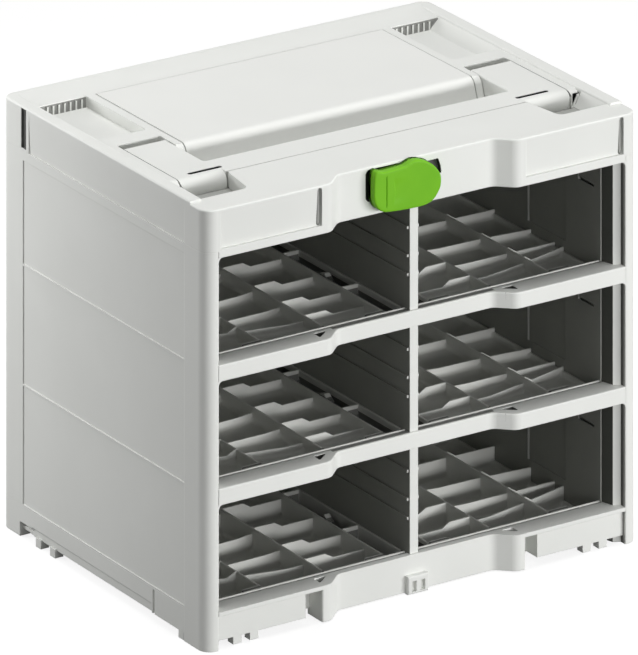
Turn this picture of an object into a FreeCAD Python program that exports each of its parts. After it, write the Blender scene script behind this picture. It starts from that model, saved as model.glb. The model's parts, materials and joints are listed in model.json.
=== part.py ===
import FreeCAD, Part
import math
import os

# Stackable storage rack: six open bays for small tool boxes, a folding carry handle in the lid
# and a quarter-turn stacking latch on the front.  Millimetres, +Z up, the front faces -Y.
# Origin: centre of the footprint, on the floor.

# overall plan
WIDTH = 396.0
DEPTH = 296.0
CORNER = 10.0
WALL = 2.5
HALF = WIDTH / 2
REAR = DEPTH / 2
FRONT = -REAR

# clearances
SLIP = 0.3           # between pieces that drop into each other
BUTT = 0.1           # between pieces that stand face to face
RUN = 0.06           # round a turning pin or shaft

# heights
LEVELS = 3
PITCH = 93.0
BAR_HEIGHT = 12.2
RIM_TOP = 28.5
RIM_HEIGHT = 3.0
HEADER_HEIGHT = 4.7
LID_HEIGHT = 32.0
PANEL_RISE = 0.3
EDGE_RISE = 2.0
SHELL_BOTTOM = RIM_TOP - RIM_HEIGHT
HEADER_BOTTOM = RIM_TOP + LEVELS * PITCH - BAR_HEIGHT
LID_BOTTOM = HEADER_BOTTOM + HEADER_HEIGHT
LID_TOP = LID_BOTTOM + LID_HEIGHT
PANEL_TOP = LID_TOP + PANEL_RISE
HEIGHT = LID_TOP + EDGE_RISE
CEILING_THICK = 2.0
CEILING_TOP = LID_BOTTOM - 1.0
CEILING_BOTTOM = CEILING_TOP - CEILING_THICK

# front: bars and lid stand forward at the sides and swing back across the middle
SET_BACK = 13.0
WAVE_OUT = 85.0
WAVE_IN = 71.0
WAVE_OUT_RADIUS = 10.0
WAVE_IN_RADIUS = 9.0
MIDDLE_FRONT = FRONT + SET_BACK
BAR_DEPTH = 18.5
BAR_EDGE = 1.0
BAR_BACK = FRONT + BAR_DEPTH

# corner posts, stepped and slanted back beside the openings
POST_WIDTH = 12.0
POST_DEPTH = 30.0
STEP_DEPTH = 6.2
STRIP_WIDTH = 5.6
STRIP_SLANT = 2.8
LEG_SLANT = 3.0
OPENING_RADIUS = 3.5
OPENING_X = HALF - POST_WIDTH
STEP_Y = FRONT + STEP_DEPTH
STRIP_X = OPENING_X - STRIP_WIDTH
STRIP_Y = STEP_Y + STRIP_SLANT
POST_IN_X = STRIP_X - LEG_SLANT
POST_BACK = FRONT + POST_DEPTH

# finger pockets beside the middle of each bar
POCKET_REACH = 11.5
POCKET_WIDE = 9.0
BAR_POCKET_DEPTH = 5.0

# bay walls
DIVIDER_THICK = 7.6
DIVIDER_WALL = 2.0
DIVIDER_SET = 2.0
LINER_WALL = 1.8
LINER_PROUD = 0.9
LEDGE_WIDTH = 3.0
LEDGE_HEIGHT = 2.0
LEDGE_BACK = 13.0
GUIDE_HEIGHTS = (27.0, 41.5, 63.0)
GUIDE_OUT = 1.6
GUIDE_TALL = 2.2
GUIDE_FRONT = 1.5
REAR_GAP = 3.5
DIVIDER_X = DIVIDER_THICK / 2
LINER_FRONT = BAR_BACK + 1.5
LINER_X = POST_IN_X - LINER_PROUD
INSIDE_REAR = REAR - WALL - REAR_GAP

# features of the liners, measured back from their front edge and up from the bar below
SLOT_START = 9.4
SLOT_LENGTH = 20.6
SLOT_HEIGHT = 54.6
SLOT_TALL = 2.0
SUNK_START = 48.5
SUNK_LENGTH = 50.5
SUNK_DEPTH = 0.7
BEAD_START = 99.6
BEAD_WIDTH = 0.7
BEAD_OUT = 0.4
HEAD_GAP = 3.0

# rib trays
TRAY_FLOOR = 1.5
RIB = 1.6
RIB_DROP = 0.3
LIP_RISE = 0.5
SECOND_LIP = 4.5
EDGE_HEIGHT = 5.0
FIRST_RIB = 17.0
RIB_SPACING = 55.6
LOW_DROP = 4.0
TAB_LENGTH = 19.4
RAMP_LENGTH = 7.0
OUTER_RAMP = 8.0
BEND_LENGTH = 16.6
HORN_LENGTH = 4.0
HORN_RISE = 0.4
PLATE_LENGTH = 17.0
TONGUE_SLOT = 30.0
TRAY_FRONT = LINER_FRONT + 1.0
TRAY_REAR = INSIDE_REAR - 1.0
TRAY_IN_X = DIVIDER_X + SLIP
TRAY_OUT_X = LINER_X - SLIP
LONG_RIBS = tuple(DIVIDER_X + FIRST_RIB + i * RIB_SPACING for i in range(3))
# distance of each cross rib from the tray front: inner column, second and third long rib, side wall
CROSS_ROWS = ((30.0, 30.0, 38.0, 49.0), (63.0, 61.0, 61.0, 61.0), (102.0, 99.0, 98.0, 94.0),
              (147.0, 146.0, 146.0, 145.0), (203.0, 203.0, 203.0, 203.0))

# box tongues
TONGUE_IN = 6.2
TONGUE_WIDTH = 5.0
TONGUE_START = 91.0
TONGUE_LENGTH = 35.0
TONGUE_THICK = 1.4
TONGUE_DROP = 1.0

# base
BASE_WALL = 3.5
FOOT_HEIGHT = 6.0
FLOOR_THICK = 2.5
APRON_GAP = 1.0
BUMP_WIDTH = 8.0
RECESS_WIDTH = 13.0
REAR_FOOT_WIDTH = 17.0
REAR_FOOT_LENGTH = 28.0
REAR_FOOT_HEIGHT = 14.0
FRONT_FOOT_LENGTH = 10.0
FLOOR_RIB = 3.5
CATCH_WIDTH = 19.0
CATCH_DEPTH = 4.5
CATCH_HEIGHT = 14.0
LUG_WIDTH = 7.5
LUG_LIFT = 0.3
FLOOR_TOP = FOOT_HEIGHT + FLOOR_THICK
BUMP_SIDE = WAVE_OUT + BUMP_WIDTH
PANEL_END = BUMP_SIDE + RECESS_WIDTH
PANEL_Y = STEP_Y - WALL - BUTT
RECESS_BACK = TRAY_FRONT - SLIP
TRAY_BASE = FLOOR_TOP + BUTT

# screws that hold the shells to the base, and their bosses
SCREW_IN = 9.0
BOSS_HALF = 6.0
BASE_SCREW_RADIUS = 2.0
BASE_SCREW_HEAD = 4.0
BASE_SCREW_TIP = 26.0
HEAD_HEIGHT = 2.2
REAR_SCREW = 38.0
SCREW_X = HALF - SCREW_IN
FRONT_SCREW_Y = POST_BACK - 4.8
REAR_SCREW_Y = REAR - REAR_SCREW
BASE_SCREWS = tuple((side * SCREW_X, y) for y in (FRONT_SCREW_Y, REAR_SCREW_Y) for side in (-1, 1))

# side and back shells
SIDE_SUNK = 0.7
RIDGE = 1.6
FIELD_END = 32.5
TOP_RIDGE = 7.6
STIFFENERS = (88.0, 168.0, 243.0)
BACK_SUNK = 0.8
BACK_MARGIN = 8.0
BACK_FIELD_RADIUS = 6.0

# lid: wells for the handle, stacking pockets, label fields
LID_EDGE = 1.2
RAISED_EDGE = 1.6
RAISED_SIDE = 11.0
RAISED_START = 22.5
RAISED_REAR = 8.0
RAISED_RAMP = 24.0
WELL_SIDE = 18.7
ARM_WELL_WIDTH = 39.6
BAR_WELL_START = 64.2
WELL_RADIUS = 2.0
WELL_WALL = 2.0
POCKET_SIDE = 11.0
POCKET_WIDTH = 45.5
POCKET_LENGTH = 88.2
POCKET_END = 33.8
POCKET_DEPTH = 8.4
POCKET_LEAN = 9.4
POCKET_RAMP = 18.0
POCKET_DRAFT = 1.6
NOTCH_START = 26.5
NOTCH_DEPTH = 12.0
NOTCH_SIDE = 11.0
NOTCH_LEAN = 6.5
NOTCH_TAPER = 5.5
NOTCH_RADIUS = 6.0
LABEL_MARGIN = 1.7
LABEL_FROM_WAVE = 8.5
LABEL_SILL = 1.6
LABEL_DEPTH = 2.2
LABEL_TOP = 1.5
LABEL_SLOT = 4.0
LABEL_BACKING = 5.6
SIDE_TAPER = 0.9
SIDE_SLOT = 7.4
SIDE_SLOT_IN = 37.2
TOOTH = 1.6
TOOTH_PITCH = 5.2
TEETH = 7
WELL_OUT = HALF - WELL_SIDE
WELL_IN = WELL_OUT - ARM_WELL_WIDTH
BAR_WELL_FRONT = FRONT + BAR_WELL_START
RAISED_IN = HALF - RAISED_SIDE
RAISED_FRONT = FRONT + RAISED_START
POCKET_OUT = HALF - POCKET_SIDE
POCKET_IN = POCKET_OUT - POCKET_WIDTH
POCKET_REAR = REAR - POCKET_END
POCKET_FRONT = POCKET_REAR - POCKET_LENGTH
POCKET_FLOOR = LID_TOP - POCKET_DEPTH
NOTCH_FRONT = FRONT + NOTCH_START
NOTCH_FLOOR = LID_TOP - NOTCH_DEPTH
NOTCH_OUT = HALF - NOTCH_SIDE
LABEL_OUT = OPENING_X - LABEL_MARGIN
LABEL_IN = WAVE_OUT + LABEL_FROM_WAVE
LABEL_BOTTOM = LID_BOTTOM + LABEL_SILL

# carry handle, folded flat in its well
HANDLE_THICK = 14.0
HANDLE_WALL = 3.0
HANDLE_EDGE = 1.6
HANDLE_GAP = 0.8
HANDLE_BAR = 27.9
NOSE_REACH = 2.6
NOSE_RADIUS = 10.0
NOSE_CORNER = 4.0
NOSE_INSET = 1.5
ARM_LENGTH = 45.1
ARM_TAIL = 9.0
WELL_UNDER = 5.0
WELL_BEHIND = 19.2
KNUCKLE_RADIUS = 6.4
PIN_RADIUS = 3.0
PIN_GRIP = 4.5
SLOT_IN = 9.9
SLOT_HALF = 15.3
SLOT_WIDE = 4.4
SLOT_BACK = 16.7
WEB_PITCH = 40.0
HANDLE_TOP = LID_TOP
HANDLE_BOTTOM = HANDLE_TOP - HANDLE_THICK
WELL_FLOOR = HANDLE_BOTTOM - WELL_UNDER
ARM_OUT = WELL_OUT - HANDLE_GAP
ARM_IN = WELL_IN + HANDLE_GAP
BAR_FRONT_Y = BAR_WELL_FRONT + HANDLE_GAP
BAR_REAR_Y = BAR_FRONT_Y + HANDLE_BAR
NOSE_FRONT = BAR_FRONT_Y - NOSE_REACH
NOSE_Y = NOSE_FRONT + NOSE_RADIUS
NOSE_Z = HANDLE_TOP - NOSE_RADIUS
NOSE_IN = WELL_IN - NOSE_INSET
NOTCH_IN = NOSE_IN - HANDLE_GAP
HINGE_Y = BAR_REAR_Y + ARM_LENGTH
HINGE_Z = HANDLE_BOTTOM + HANDLE_THICK / 2
ARM_REAR = HINGE_Y + ARM_TAIL
WELL_REAR = HINGE_Y + WELL_BEHIND

# flush centre panel; its front rounds over and drops steeply into the finger room
PANEL_THICK = 2.6
PANEL_SIDE = 7.0
PANEL_END_GAP = 35.3
FINGER_ROOM = 39.0
SLOPE_RUN = 7.0
SLOPE_RADIUS = 8.0
SLOPE_WALL = 3.0
CHEEK_LENGTH = 14.0
PANEL_HALF = WELL_IN - PANEL_SIDE
PANEL_GROOVE = 0.9
PANEL_ROOM = PANEL_HALF + PANEL_GROOVE
PANEL_FRONT = BAR_REAR_Y + FINGER_ROOM
PANEL_REAR = REAR - PANEL_END_GAP
SEAT_Z = PANEL_TOP - PANEL_THICK
SLOPE_FOOT = PANEL_FRONT - SLOPE_RUN

# screws up through the ceiling into the lid, under the handle bar and the stacking pockets
CEILING_SCREW_RADIUS = 1.8
CEILING_SCREW_HEAD = 3.6
CEILING_HEAD_HEIGHT = 1.6
CEILING_SCREW_LENGTH = 12.0
LID_BOSS_RADIUS = 5.0
BAR_SCREW = ((WELL_OUT + WELL_IN) / 2, (BAR_FRONT_Y + BAR_REAR_Y) / 2)
POCKET_SCREW = ((POCKET_OUT + POCKET_IN) / 2, (POCKET_FRONT + POCKET_REAR) / 2)

# stacking latch: hub with a flat paddle to the left
HUB_DROP = 17.0
HUB_RADIUS = 17.7
LATCH_PROUD = 9.0
LATCH_THICK = 8.6
LATCH_LENGTH = 42.0
LATCH_ABOVE = 15.6
LATCH_BELOW = 15.2
LATCH_EDGE = 2.2
SEAT_DEPTH = 3.0
SEAT_INSET = 2.2
ROOM_LENGTH = 45.5
ROOM_ABOVE = 15.0
ROOM_BELOW = 9.5
ROOM_DEPTH = 4.5
ROOM_RADIUS = 4.0
STOP_REACH = 6.0
STOP_HEIGHT = 11.5
SPINDLE_RADIUS = 5.0
LATCH_BOSS_SIDE = 3.5
LATCH_BOSS_DEPTH = 9.0
HUB_RECESS = 2.2
HUB_RIM = 3.0
WASHER_RADIUS = 9.0
WASHER_THICK = 1.5
LATCH_SCREW_RADIUS = 1.5
LATCH_SCREW_HEAD = 3.4
HUB_Z = LID_TOP - HUB_DROP
LATCH_FACE = MIDDLE_FRONT - LATCH_PROUD
LATCH_BACK = LATCH_FACE + LATCH_THICK
LATCH_BOSS_BACK = MIDDLE_FRONT + LATCH_BOSS_DEPTH
WASHER_Y = LATCH_BOSS_BACK + 0.2
SEAT_RADIUS = HUB_RADIUS - SEAT_INSET
STOP_RADIUS = HUB_RADIUS + STOP_REACH


def box(x0, x1, y0, y1, z0, z1):
    return Part.makeBox(x1 - x0, y1 - y0, z1 - z0, FreeCAD.Vector(x0, y0, z0))


def rounded_wire(points, z):
    """Closed wire through (x, y, radius) corners, each corner rounded by its radius."""
    starts = []
    ends = []
    mids = []
    for i, (x, y, radius) in enumerate(points):
        corner = FreeCAD.Vector(x, y, z)
        before = FreeCAD.Vector(points[i - 1][0], points[i - 1][1], z)
        following = points[(i + 1) % len(points)]
        after = FreeCAD.Vector(following[0], following[1], z)
        if radius <= 0:
            starts.append(corner)
            ends.append(corner)
            mids.append(None)
            continue
        into = (before - corner).normalize()
        away = (after - corner).normalize()
        half = math.acos(max(-1.0, min(1.0, into.dot(away)))) / 2
        reach = radius / math.tan(half)
        bisector = (into + away).normalize()
        centre = corner + bisector * (radius / math.sin(half))
        starts.append(corner + into * reach)
        ends.append(corner + away * reach)
        mids.append(centre - bisector * radius)
    edges = []
    for i, end in enumerate(ends):
        if mids[i] is not None:
            edges.append(Part.Arc(starts[i], mids[i], end).toShape())
        start = starts[(i + 1) % len(points)]
        if (start - end).Length > 1e-6:
            edges.append(Part.makeLine(end, start))
    return Part.Wire(edges)


def prism(points, z0, z1):
    """Extrude an (x, y, radius) outline upwards."""
    face = Part.Face(rounded_wire(points, z0))
    return face.extrude(FreeCAD.Vector(0, 0, z1 - z0))


def rounded_box(x0, x1, y0, y1, z0, z1, radius):
    return prism([(x0, y0, radius), (x1, y0, radius), (x1, y1, radius), (x0, y1, radius)], z0, z1)


def side_prism(points, x0, x1):
    """Extrude a (y, z) outline along X."""
    corners = [FreeCAD.Vector(x0, y, z) for y, z in points]
    face = Part.Face(Part.makePolygon(corners + [corners[0]]))
    return face.extrude(FreeCAD.Vector(x1 - x0, 0, 0))


def front_prism(points, y0, y1):
    """Extrude an (x, z) outline along Y."""
    corners = [FreeCAD.Vector(x, y0, z) for x, z in points]
    face = Part.Face(Part.makePolygon(corners + [corners[0]]))
    return face.extrude(FreeCAD.Vector(0, y1 - y0, 0))


def cylinder_x(radius, y, z, x0, x1):
    return Part.makeCylinder(radius, x1 - x0, FreeCAD.Vector(x0, y, z), FreeCAD.Vector(1, 0, 0))


def cylinder_y(radius, x, z, y0, y1):
    return Part.makeCylinder(radius, y1 - y0, FreeCAD.Vector(x, y0, z), FreeCAD.Vector(0, 1, 0))


def cylinder_z(radius, x, y, z0, z1):
    return Part.makeCylinder(radius, z1 - z0, FreeCAD.Vector(x, y, z0))


def mirrored(shape):
    return shape.mirror(FreeCAD.Vector(0, 0, 0), FreeCAD.Vector(1, 0, 0))


def both_sides(*shapes):
    return list(shapes) + [mirrored(shape) for shape in shapes]


def join(shapes):
    whole = shapes[0].fuse(shapes[1:]) if len(shapes) > 1 else shapes[0]
    return whole.removeSplitter()


def soften(shape, radius, wanted):
    """Round every edge whose bounding box passes the test."""
    edges = [edge for edge in shape.Edges if wanted(edge.BoundBox)]
    return shape.makeFillet(radius, edges)


def wave_front(inset):
    """Front corners shared by the bars, the rim and the lid, moved in by the inset."""
    turn = math.atan2(SET_BACK, WAVE_OUT - WAVE_IN)
    shift = inset * math.tan(turn / 2)
    left = [(-WAVE_OUT - shift, FRONT + inset, WAVE_OUT_RADIUS - inset),
            (-WAVE_IN - shift, MIDDLE_FRONT + inset, WAVE_IN_RADIUS + inset)]
    return left + [(-x, y, radius) for x, y, radius in reversed(left)]


def bar_outline():
    """Plan of a bar from post to post; it follows the stepped faces of both posts."""
    right = [(OPENING_X, FRONT, 0), (OPENING_X, STEP_Y, 0), (STRIP_X, STRIP_Y, 0), (POST_IN_X, BAR_BACK, 0)]
    left = [(-x, y, radius) for x, y, radius in reversed(right)]
    return left[-1:] + wave_front(0) + right + left[:-1]


def bar_pockets(low, high):
    """Small three-cornered pockets where the bar swings back."""
    x0 = WAVE_IN + 8.5
    x1 = x0 + POCKET_REACH
    y1 = MIDDLE_FRONT + 2.5
    return both_sides(prism([(-x1, y1 - POCKET_WIDE, 0.8), (-x0, y1, 0.8), (-x1, y1, 0.8)], low, high))


def bar_top(level):
    """Top of the bar under a bay; level 0 is the base rim."""
    return RIM_TOP + level * PITCH


def tray_bottom(level):
    return bar_top(level) - BAR_HEIGHT if level else TRAY_BASE


# ---------------------------------------------------------------- frame and shells

def front_post():
    skin = HALF - WALL
    outline = [
        (-HALF, POST_BACK, 0), (-HALF, FRONT, CORNER), (-OPENING_X, FRONT, BAR_EDGE),
        (-OPENING_X, STEP_Y, 0), (-STRIP_X, STRIP_Y, 0), (-POST_IN_X, BAR_BACK, 0),
        (-POST_IN_X, LINER_FRONT, 0), (-POST_IN_X - WALL, LINER_FRONT, 0),
        (-POST_IN_X - WALL, BAR_BACK, 0), (-STRIP_X - WALL, STRIP_Y + WALL, 0),
        (-OPENING_X - WALL, STEP_Y + WALL, 0), (-OPENING_X - WALL, FRONT + WALL, 0),
        (-skin, FRONT + WALL, CORNER - 2 * WALL), (-skin, POST_BACK, 0)]
    channel = prism(outline, 0, LID_BOTTOM)
    foot_back = FRONT + FRONT_FOOT_LENGTH
    foot = prism([(-HALF + 1, foot_back, 0), (-HALF + 1, FRONT + 1, CORNER - 1),
                  (-OPENING_X - 1, FRONT + 1, 0), (-OPENING_X - 1, foot_back, 0)], 0, LEDGE_WIDTH)
    boss = box(-skin - 1, -SCREW_X + BOSS_HALF, LINER_FRONT + 0.5, POST_BACK, FLOOR_TOP, BASE_SCREW_TIP + 4)
    bore = cylinder_z(BASE_SCREW_RADIUS + 0.05, -SCREW_X, FRONT_SCREW_Y, FLOOR_TOP, BASE_SCREW_TIP + 1)
    return join([channel, foot, boss.cut(bore)] + opening_corners())


def opening_corners():
    """Rounded upper corners of the three openings beside one post."""
    corners = []
    for level in range(LEVELS):
        top = bar_top(level + 1) - BAR_HEIGHT
        block = box(-OPENING_X - 1, -OPENING_X + OPENING_RADIUS, FRONT, STEP_Y, top - OPENING_RADIUS, top)
        round_cut = cylinder_y(OPENING_RADIUS, -OPENING_X + OPENING_RADIUS, top - OPENING_RADIUS,
                               FRONT - 1, STEP_Y + 1)
        corners.append(block.cut(round_cut))
    return corners


def front_bar(level):
    top = bar_top(level)
    bar = prism(bar_outline(), top - BAR_HEIGHT, top)
    bar = soften(bar, BAR_EDGE, lambda b: b.ZMin > top - 0.01 and b.YMax < MIDDLE_FRONT + 0.01
                 and b.XLength > 2)
    hollow = box(-POST_IN_X + 8, POST_IN_X - 8, MIDDLE_FRONT + WALL, BAR_BACK + 1,
                 top - BAR_HEIGHT - 1, top - BAR_HEIGHT + 4)
    return bar.cut([hollow] + bar_pockets(top - BAR_POCKET_DEPTH, top + 1))


def front_frame():
    bars = [front_bar(level) for level in range(1, LEVELS)]
    return join(both_sides(front_post()) + bars)


def side_shell():
    skin = HALF - WALL
    outline = [
        (-HALF, POST_BACK, 0), (-skin, POST_BACK, 0), (-skin, REAR - WALL, CORNER - WALL),
        (-HALF + CORNER, REAR - WALL, 0), (-HALF + CORNER, REAR, 0), (-HALF, REAR, CORNER)]
    fields = []
    for level in range(LEVELS):
        low = SHELL_BOTTOM + level * PITCH + 1.0
        high = low + PITCH - RIDGE if level < LEVELS - 1 else LID_BOTTOM - TOP_RIDGE
        fields.append(box(-HALF - 1, -HALF + SIDE_SUNK, POST_BACK - 1, REAR - FIELD_END, low, high))
    pieces = [prism(outline, SHELL_BOTTOM, LID_BOTTOM).cut(fields)]
    for start in STIFFENERS:
        y = FRONT + start
        pieces.append(box(-HALF + 1, -LINER_X - LINER_WALL - BUTT, y, y + RIB, RIM_TOP, CEILING_BOTTOM))
    near = REAR_SCREW_Y - BOSS_HALF
    far = REAR_SCREW_Y + BOSS_HALF
    edge = -SCREW_X + BOSS_HALF
    boss = box(-skin - 1, edge, near, far, SHELL_BOTTOM, BASE_SCREW_TIP + 14)
    stem = box(-HALF + BASE_WALL + BUTT, edge, near, far, FLOOR_TOP, SHELL_BOTTOM)
    bore = cylinder_z(BASE_SCREW_RADIUS + 0.05, -SCREW_X, REAR_SCREW_Y, FLOOR_TOP, BASE_SCREW_TIP + 4)
    pieces.append(boss.fuse(stem).cut(bore))
    return join(pieces)


def back_field(x0, x1, z0, z1):
    """Shallow sunk field with rounded corners on the outside of the back."""
    field = box(x0, x1, REAR - BACK_SUNK, REAR + 1, z0, z1)
    return soften(field, BACK_FIELD_RADIUS, lambda b: b.YLength > 1 and b.XLength < 0.01 and b.ZLength < 0.01)


def back_panel():
    half = HALF - CORNER
    panel = box(-half, half, REAR - WALL, REAR, SHELL_BOTTOM, LID_BOTTOM)
    for level in range(LEVELS):
        low = SHELL_BOTTOM + level * PITCH + BACK_MARGIN
        high = low + PITCH - 2 * BACK_MARGIN
        panel = panel.cut(back_field(-half + BACK_MARGIN, half - BACK_MARGIN, low, min(high, LID_BOTTOM - 2)))
    return panel


# ---------------------------------------------------------------- base

def base_rim():
    rim = prism(bar_outline(), SHELL_BOTTOM, RIM_TOP)
    return rim.cut(bar_pockets(RIM_TOP - BAR_POCKET_DEPTH - 1, RIM_TOP + 1))


def base_apron():
    """Upright front wall: the middle and two bumps reach down, the outer panels stop short."""
    back = [(x, y, radius) for x, y, radius in reversed(wave_front(WALL))]
    outline = [(-BUMP_SIDE, FRONT, 1.5)] + wave_front(0) + [
        (BUMP_SIDE, FRONT, 1.5), (BUMP_SIDE, RECESS_BACK, 0), (BUMP_SIDE - WALL, RECESS_BACK, 0),
        (BUMP_SIDE - WALL, FRONT + WALL, 0)] + back + [
        (-BUMP_SIDE + WALL, FRONT + WALL, 0), (-BUMP_SIDE + WALL, RECESS_BACK, 0),
        (-BUMP_SIDE, RECESS_BACK, 0)]
    panel = box(-OPENING_X, -PANEL_END, PANEL_Y, PANEL_Y + WALL, FOOT_HEIGHT, SHELL_BOTTOM)
    cheek = box(-PANEL_END - WALL, -PANEL_END, PANEL_Y, RECESS_BACK, FOOT_HEIGHT, SHELL_BOTTOM)
    recess = box(-PANEL_END - WALL, -BUMP_SIDE, RECESS_BACK - WALL, RECESS_BACK, FOOT_HEIGHT, SHELL_BOTTOM)
    return [prism(outline, APRON_GAP, SHELL_BOTTOM)] + both_sides(panel, cheek, recess)


def base_lugs():
    """Small blocks under the front panels and along the sides that key into a unit below."""
    low = LUG_LIFT
    high = FOOT_HEIGHT + 1
    lugs = []
    for inset in (15.0, 30.0):
        x0 = -OPENING_X + inset
        lugs.append(box(x0, x0 + LUG_WIDTH, PANEL_Y, PANEL_Y + LUG_WIDTH, low, high))
    for start in (30.5, 216.0, 237.0):
        y0 = FRONT + start
        lugs.append(box(-HALF, -HALF + LUG_WIDTH, y0, y0 + LUG_WIDTH, low, high))
    return both_sides(*lugs)


def base_ring():
    """Outer wall of the base behind the posts, with sunk fields and a rear cut-out on each side."""
    outer = rounded_box(-HALF, HALF, FRONT, REAR, FOOT_HEIGHT, SHELL_BOTTOM, CORNER)
    inner = rounded_box(-HALF + BASE_WALL, HALF - BASE_WALL, FRONT + BASE_WALL, REAR - BASE_WALL,
                        FOOT_HEIGHT - 1, SHELL_BOTTOM + 1, CORNER - BASE_WALL)
    front_half = box(-HALF - 1, HALF + 1, FRONT - 1, POST_BACK, 0, SHELL_BOTTOM + 1)
    foot_front = REAR - REAR_FOOT_LENGTH
    low_field = box(-HALF - 1, -HALF + 1.6, FRONT + 76, foot_front - 18, FOOT_HEIGHT - 1, FOOT_HEIGHT + 7)
    groove = box(-HALF - 1, -HALF + 1.6, FRONT + 72, FRONT + 74.5, FOOT_HEIGHT - 1, SHELL_BOTTOM - 1.5)
    cut_out = box(-HALF - 1, -HALF + BASE_WALL + 1, foot_front - 18, foot_front,
                  FOOT_HEIGHT - 1, FOOT_HEIGHT + 6)
    return outer.cut([inner, front_half] + both_sides(low_field, groove, cut_out))


def base_floor():
    """Floor plate behind the posts, reaching forward between them, with ribs underneath."""
    side = HALF - 3
    front_side = HALF - BASE_WALL - 1
    front_y = LINER_FRONT + 0.2
    plate = prism([(-front_side, front_y, 0), (front_side, front_y, 0), (front_side, POST_BACK + BUTT, 0),
                   (side, POST_BACK + BUTT, 0), (side, REAR - 3, CORNER - 3),
                   (-side, REAR - 3, CORNER - 3), (-side, POST_BACK + BUTT, 0),
                   (-front_side, POST_BACK + BUTT, 0)], FOOT_HEIGHT, FLOOR_TOP)
    reach = POST_IN_X - BUTT
    pieces = [plate, box(-reach, reach, RECESS_BACK - WALL, front_y + BUTT, FOOT_HEIGHT, FLOOR_TOP)]
    low = FOOT_HEIGHT - FLOOR_RIB
    for x in range(-160, 161, 40):
        pieces.append(box(x - 1, x + 1, POST_BACK, REAR - WALL - 6, low, FOOT_HEIGHT))
    for y in range(-100, 131, 46):
        pieces.append(box(-OPENING_X + 6, OPENING_X - 6, y - 1, y + 1, low, FOOT_HEIGHT))
    return pieces


def base_shell():
    foot_front = REAR - REAR_FOOT_LENGTH
    foot_in = HALF - REAR_FOOT_WIDTH
    plan = [(-HALF, foot_front, 0), (-foot_in, foot_front, 0), (-foot_in, REAR, 0), (-HALF, REAR, CORNER)]
    foot = prism(plan, 0, REAR_FOOT_HEIGHT)
    foot = soften(foot, 1.5, lambda b: b.ZMax < 0.01)
    pieces = [base_ring(), base_rim()] + base_floor() + base_apron() + base_lugs() + both_sides(foot)
    holes = []
    for x, y in BASE_SCREWS:
        holes.append(cylinder_z(BASE_SCREW_RADIUS + BUTT, x, y, FOOT_HEIGHT - 1, FLOOR_TOP + 1))
    return join(pieces).cut(holes)


def base_catch():
    """Catch that the latch of a unit below hooks into."""
    half = CATCH_WIDTH / 2
    face = MIDDLE_FRONT - CATCH_DEPTH
    block = box(-half, half, face, MIDDLE_FRONT, LUG_LIFT, CATCH_HEIGHT)
    block = soften(block, 1.2, lambda b: b.YMax < face + 0.5)
    slots = [box(x, x + 4, face - 1, face + 3, 2, CATCH_HEIGHT - 4) for x in (-6.0, 2.0)]
    return block.cut(slots)


# ---------------------------------------------------------------- inside of the rack

def centre_divider():
    """Hollow upright plate with guide rails and ledges on both sides, and a nose in every opening."""
    core = DIVIDER_X - DIVIDER_WALL
    guide_x = DIVIDER_X + GUIDE_OUT
    ledge_x = DIVIDER_X + LEDGE_WIDTH
    nose = MIDDLE_FRONT + DIVIDER_SET
    pieces = [box(-DIVIDER_X, DIVIDER_X, LINER_FRONT + 1, INSIDE_REAR, FLOOR_TOP, CEILING_BOTTOM)]
    for level in range(LEVELS):
        low = bar_top(level)
        high = low + PITCH - BAR_HEIGHT
        pieces.append(box(-DIVIDER_X, DIVIDER_X, nose, LINER_FRONT + 1.5, low, high))
        for height in GUIDE_HEIGHTS:
            z0 = low + height - GUIDE_TALL / 2
            pieces.append(box(-guide_x, guide_x, nose + GUIDE_FRONT, REAR - LEDGE_BACK, z0, z0 + GUIDE_TALL))
        if level:
            under = low - BAR_HEIGHT
            pieces.append(box(-ledge_x, ledge_x, TRAY_FRONT + 7, REAR - LEDGE_BACK,
                              under - LEDGE_HEIGHT, under))
    hollow = box(-core, core, TRAY_FRONT + 9, INSIDE_REAR + 1, FLOOR_TOP + 4, CEILING_BOTTOM - 4)
    return join(pieces).cut(hollow)


def bay_liner():
    """Dark inner wall of the outer bays, with a finger slot, a sunk field and upright beads."""
    back = -LINER_X - LINER_WALL
    pieces = [box(back, -LINER_X, LINER_FRONT, INSIDE_REAR, FLOOR_TOP, CEILING_BOTTOM)]
    cuts = []
    slot_front = LINER_FRONT + SLOT_START
    slot_back = slot_front + SLOT_LENGTH
    sunk_front = LINER_FRONT + SUNK_START
    bead = LINER_FRONT + BEAD_START
    for level in range(LEVELS):
        low = bar_top(level)
        under = low - BAR_HEIGHT
        high = low + PITCH - BAR_HEIGHT - HEAD_GAP
        slot_low = low + SLOT_HEIGHT
        if level:
            pieces.append(box(back + 1, -LINER_X + LEDGE_WIDTH, TRAY_FRONT + 7, REAR - LEDGE_BACK,
                              under - LEDGE_HEIGHT, under))
        pieces.append(box(back + 1, -LINER_X + BEAD_OUT, bead, bead + BEAD_WIDTH, low + 1, high))
        pieces.append(box(back + 1, -LINER_X + BEAD_OUT, slot_back, slot_back + BEAD_WIDTH,
                          slot_low, high))
        cuts.append(box(back - 1, -LINER_X + 1, slot_front, slot_back, slot_low, slot_low + SLOT_TALL))
        cuts.append(box(-LINER_X - SUNK_DEPTH, -LINER_X + 1, sunk_front, sunk_front + SUNK_LENGTH,
                        low + 1, high))
    wall = pieces[0].cut(cuts)
    return join([wall] + pieces[1:])


def ceiling_screw_spots():
    return [(side * x, y) for x, y in (BAR_SCREW, POCKET_SCREW) for side in (-1, 1)]


def bay_ceiling():
    half = LINER_X + LINER_WALL
    plate = box(-half, half, LINER_FRONT, INSIDE_REAR, CEILING_BOTTOM, CEILING_TOP)
    holes = []
    for x, y in ceiling_screw_spots():
        holes.append(cylinder_z(CEILING_SCREW_RADIUS + BUTT, x, y, CEILING_BOTTOM - 1, CEILING_TOP + 1))
    return plate.cut(holes)


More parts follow.
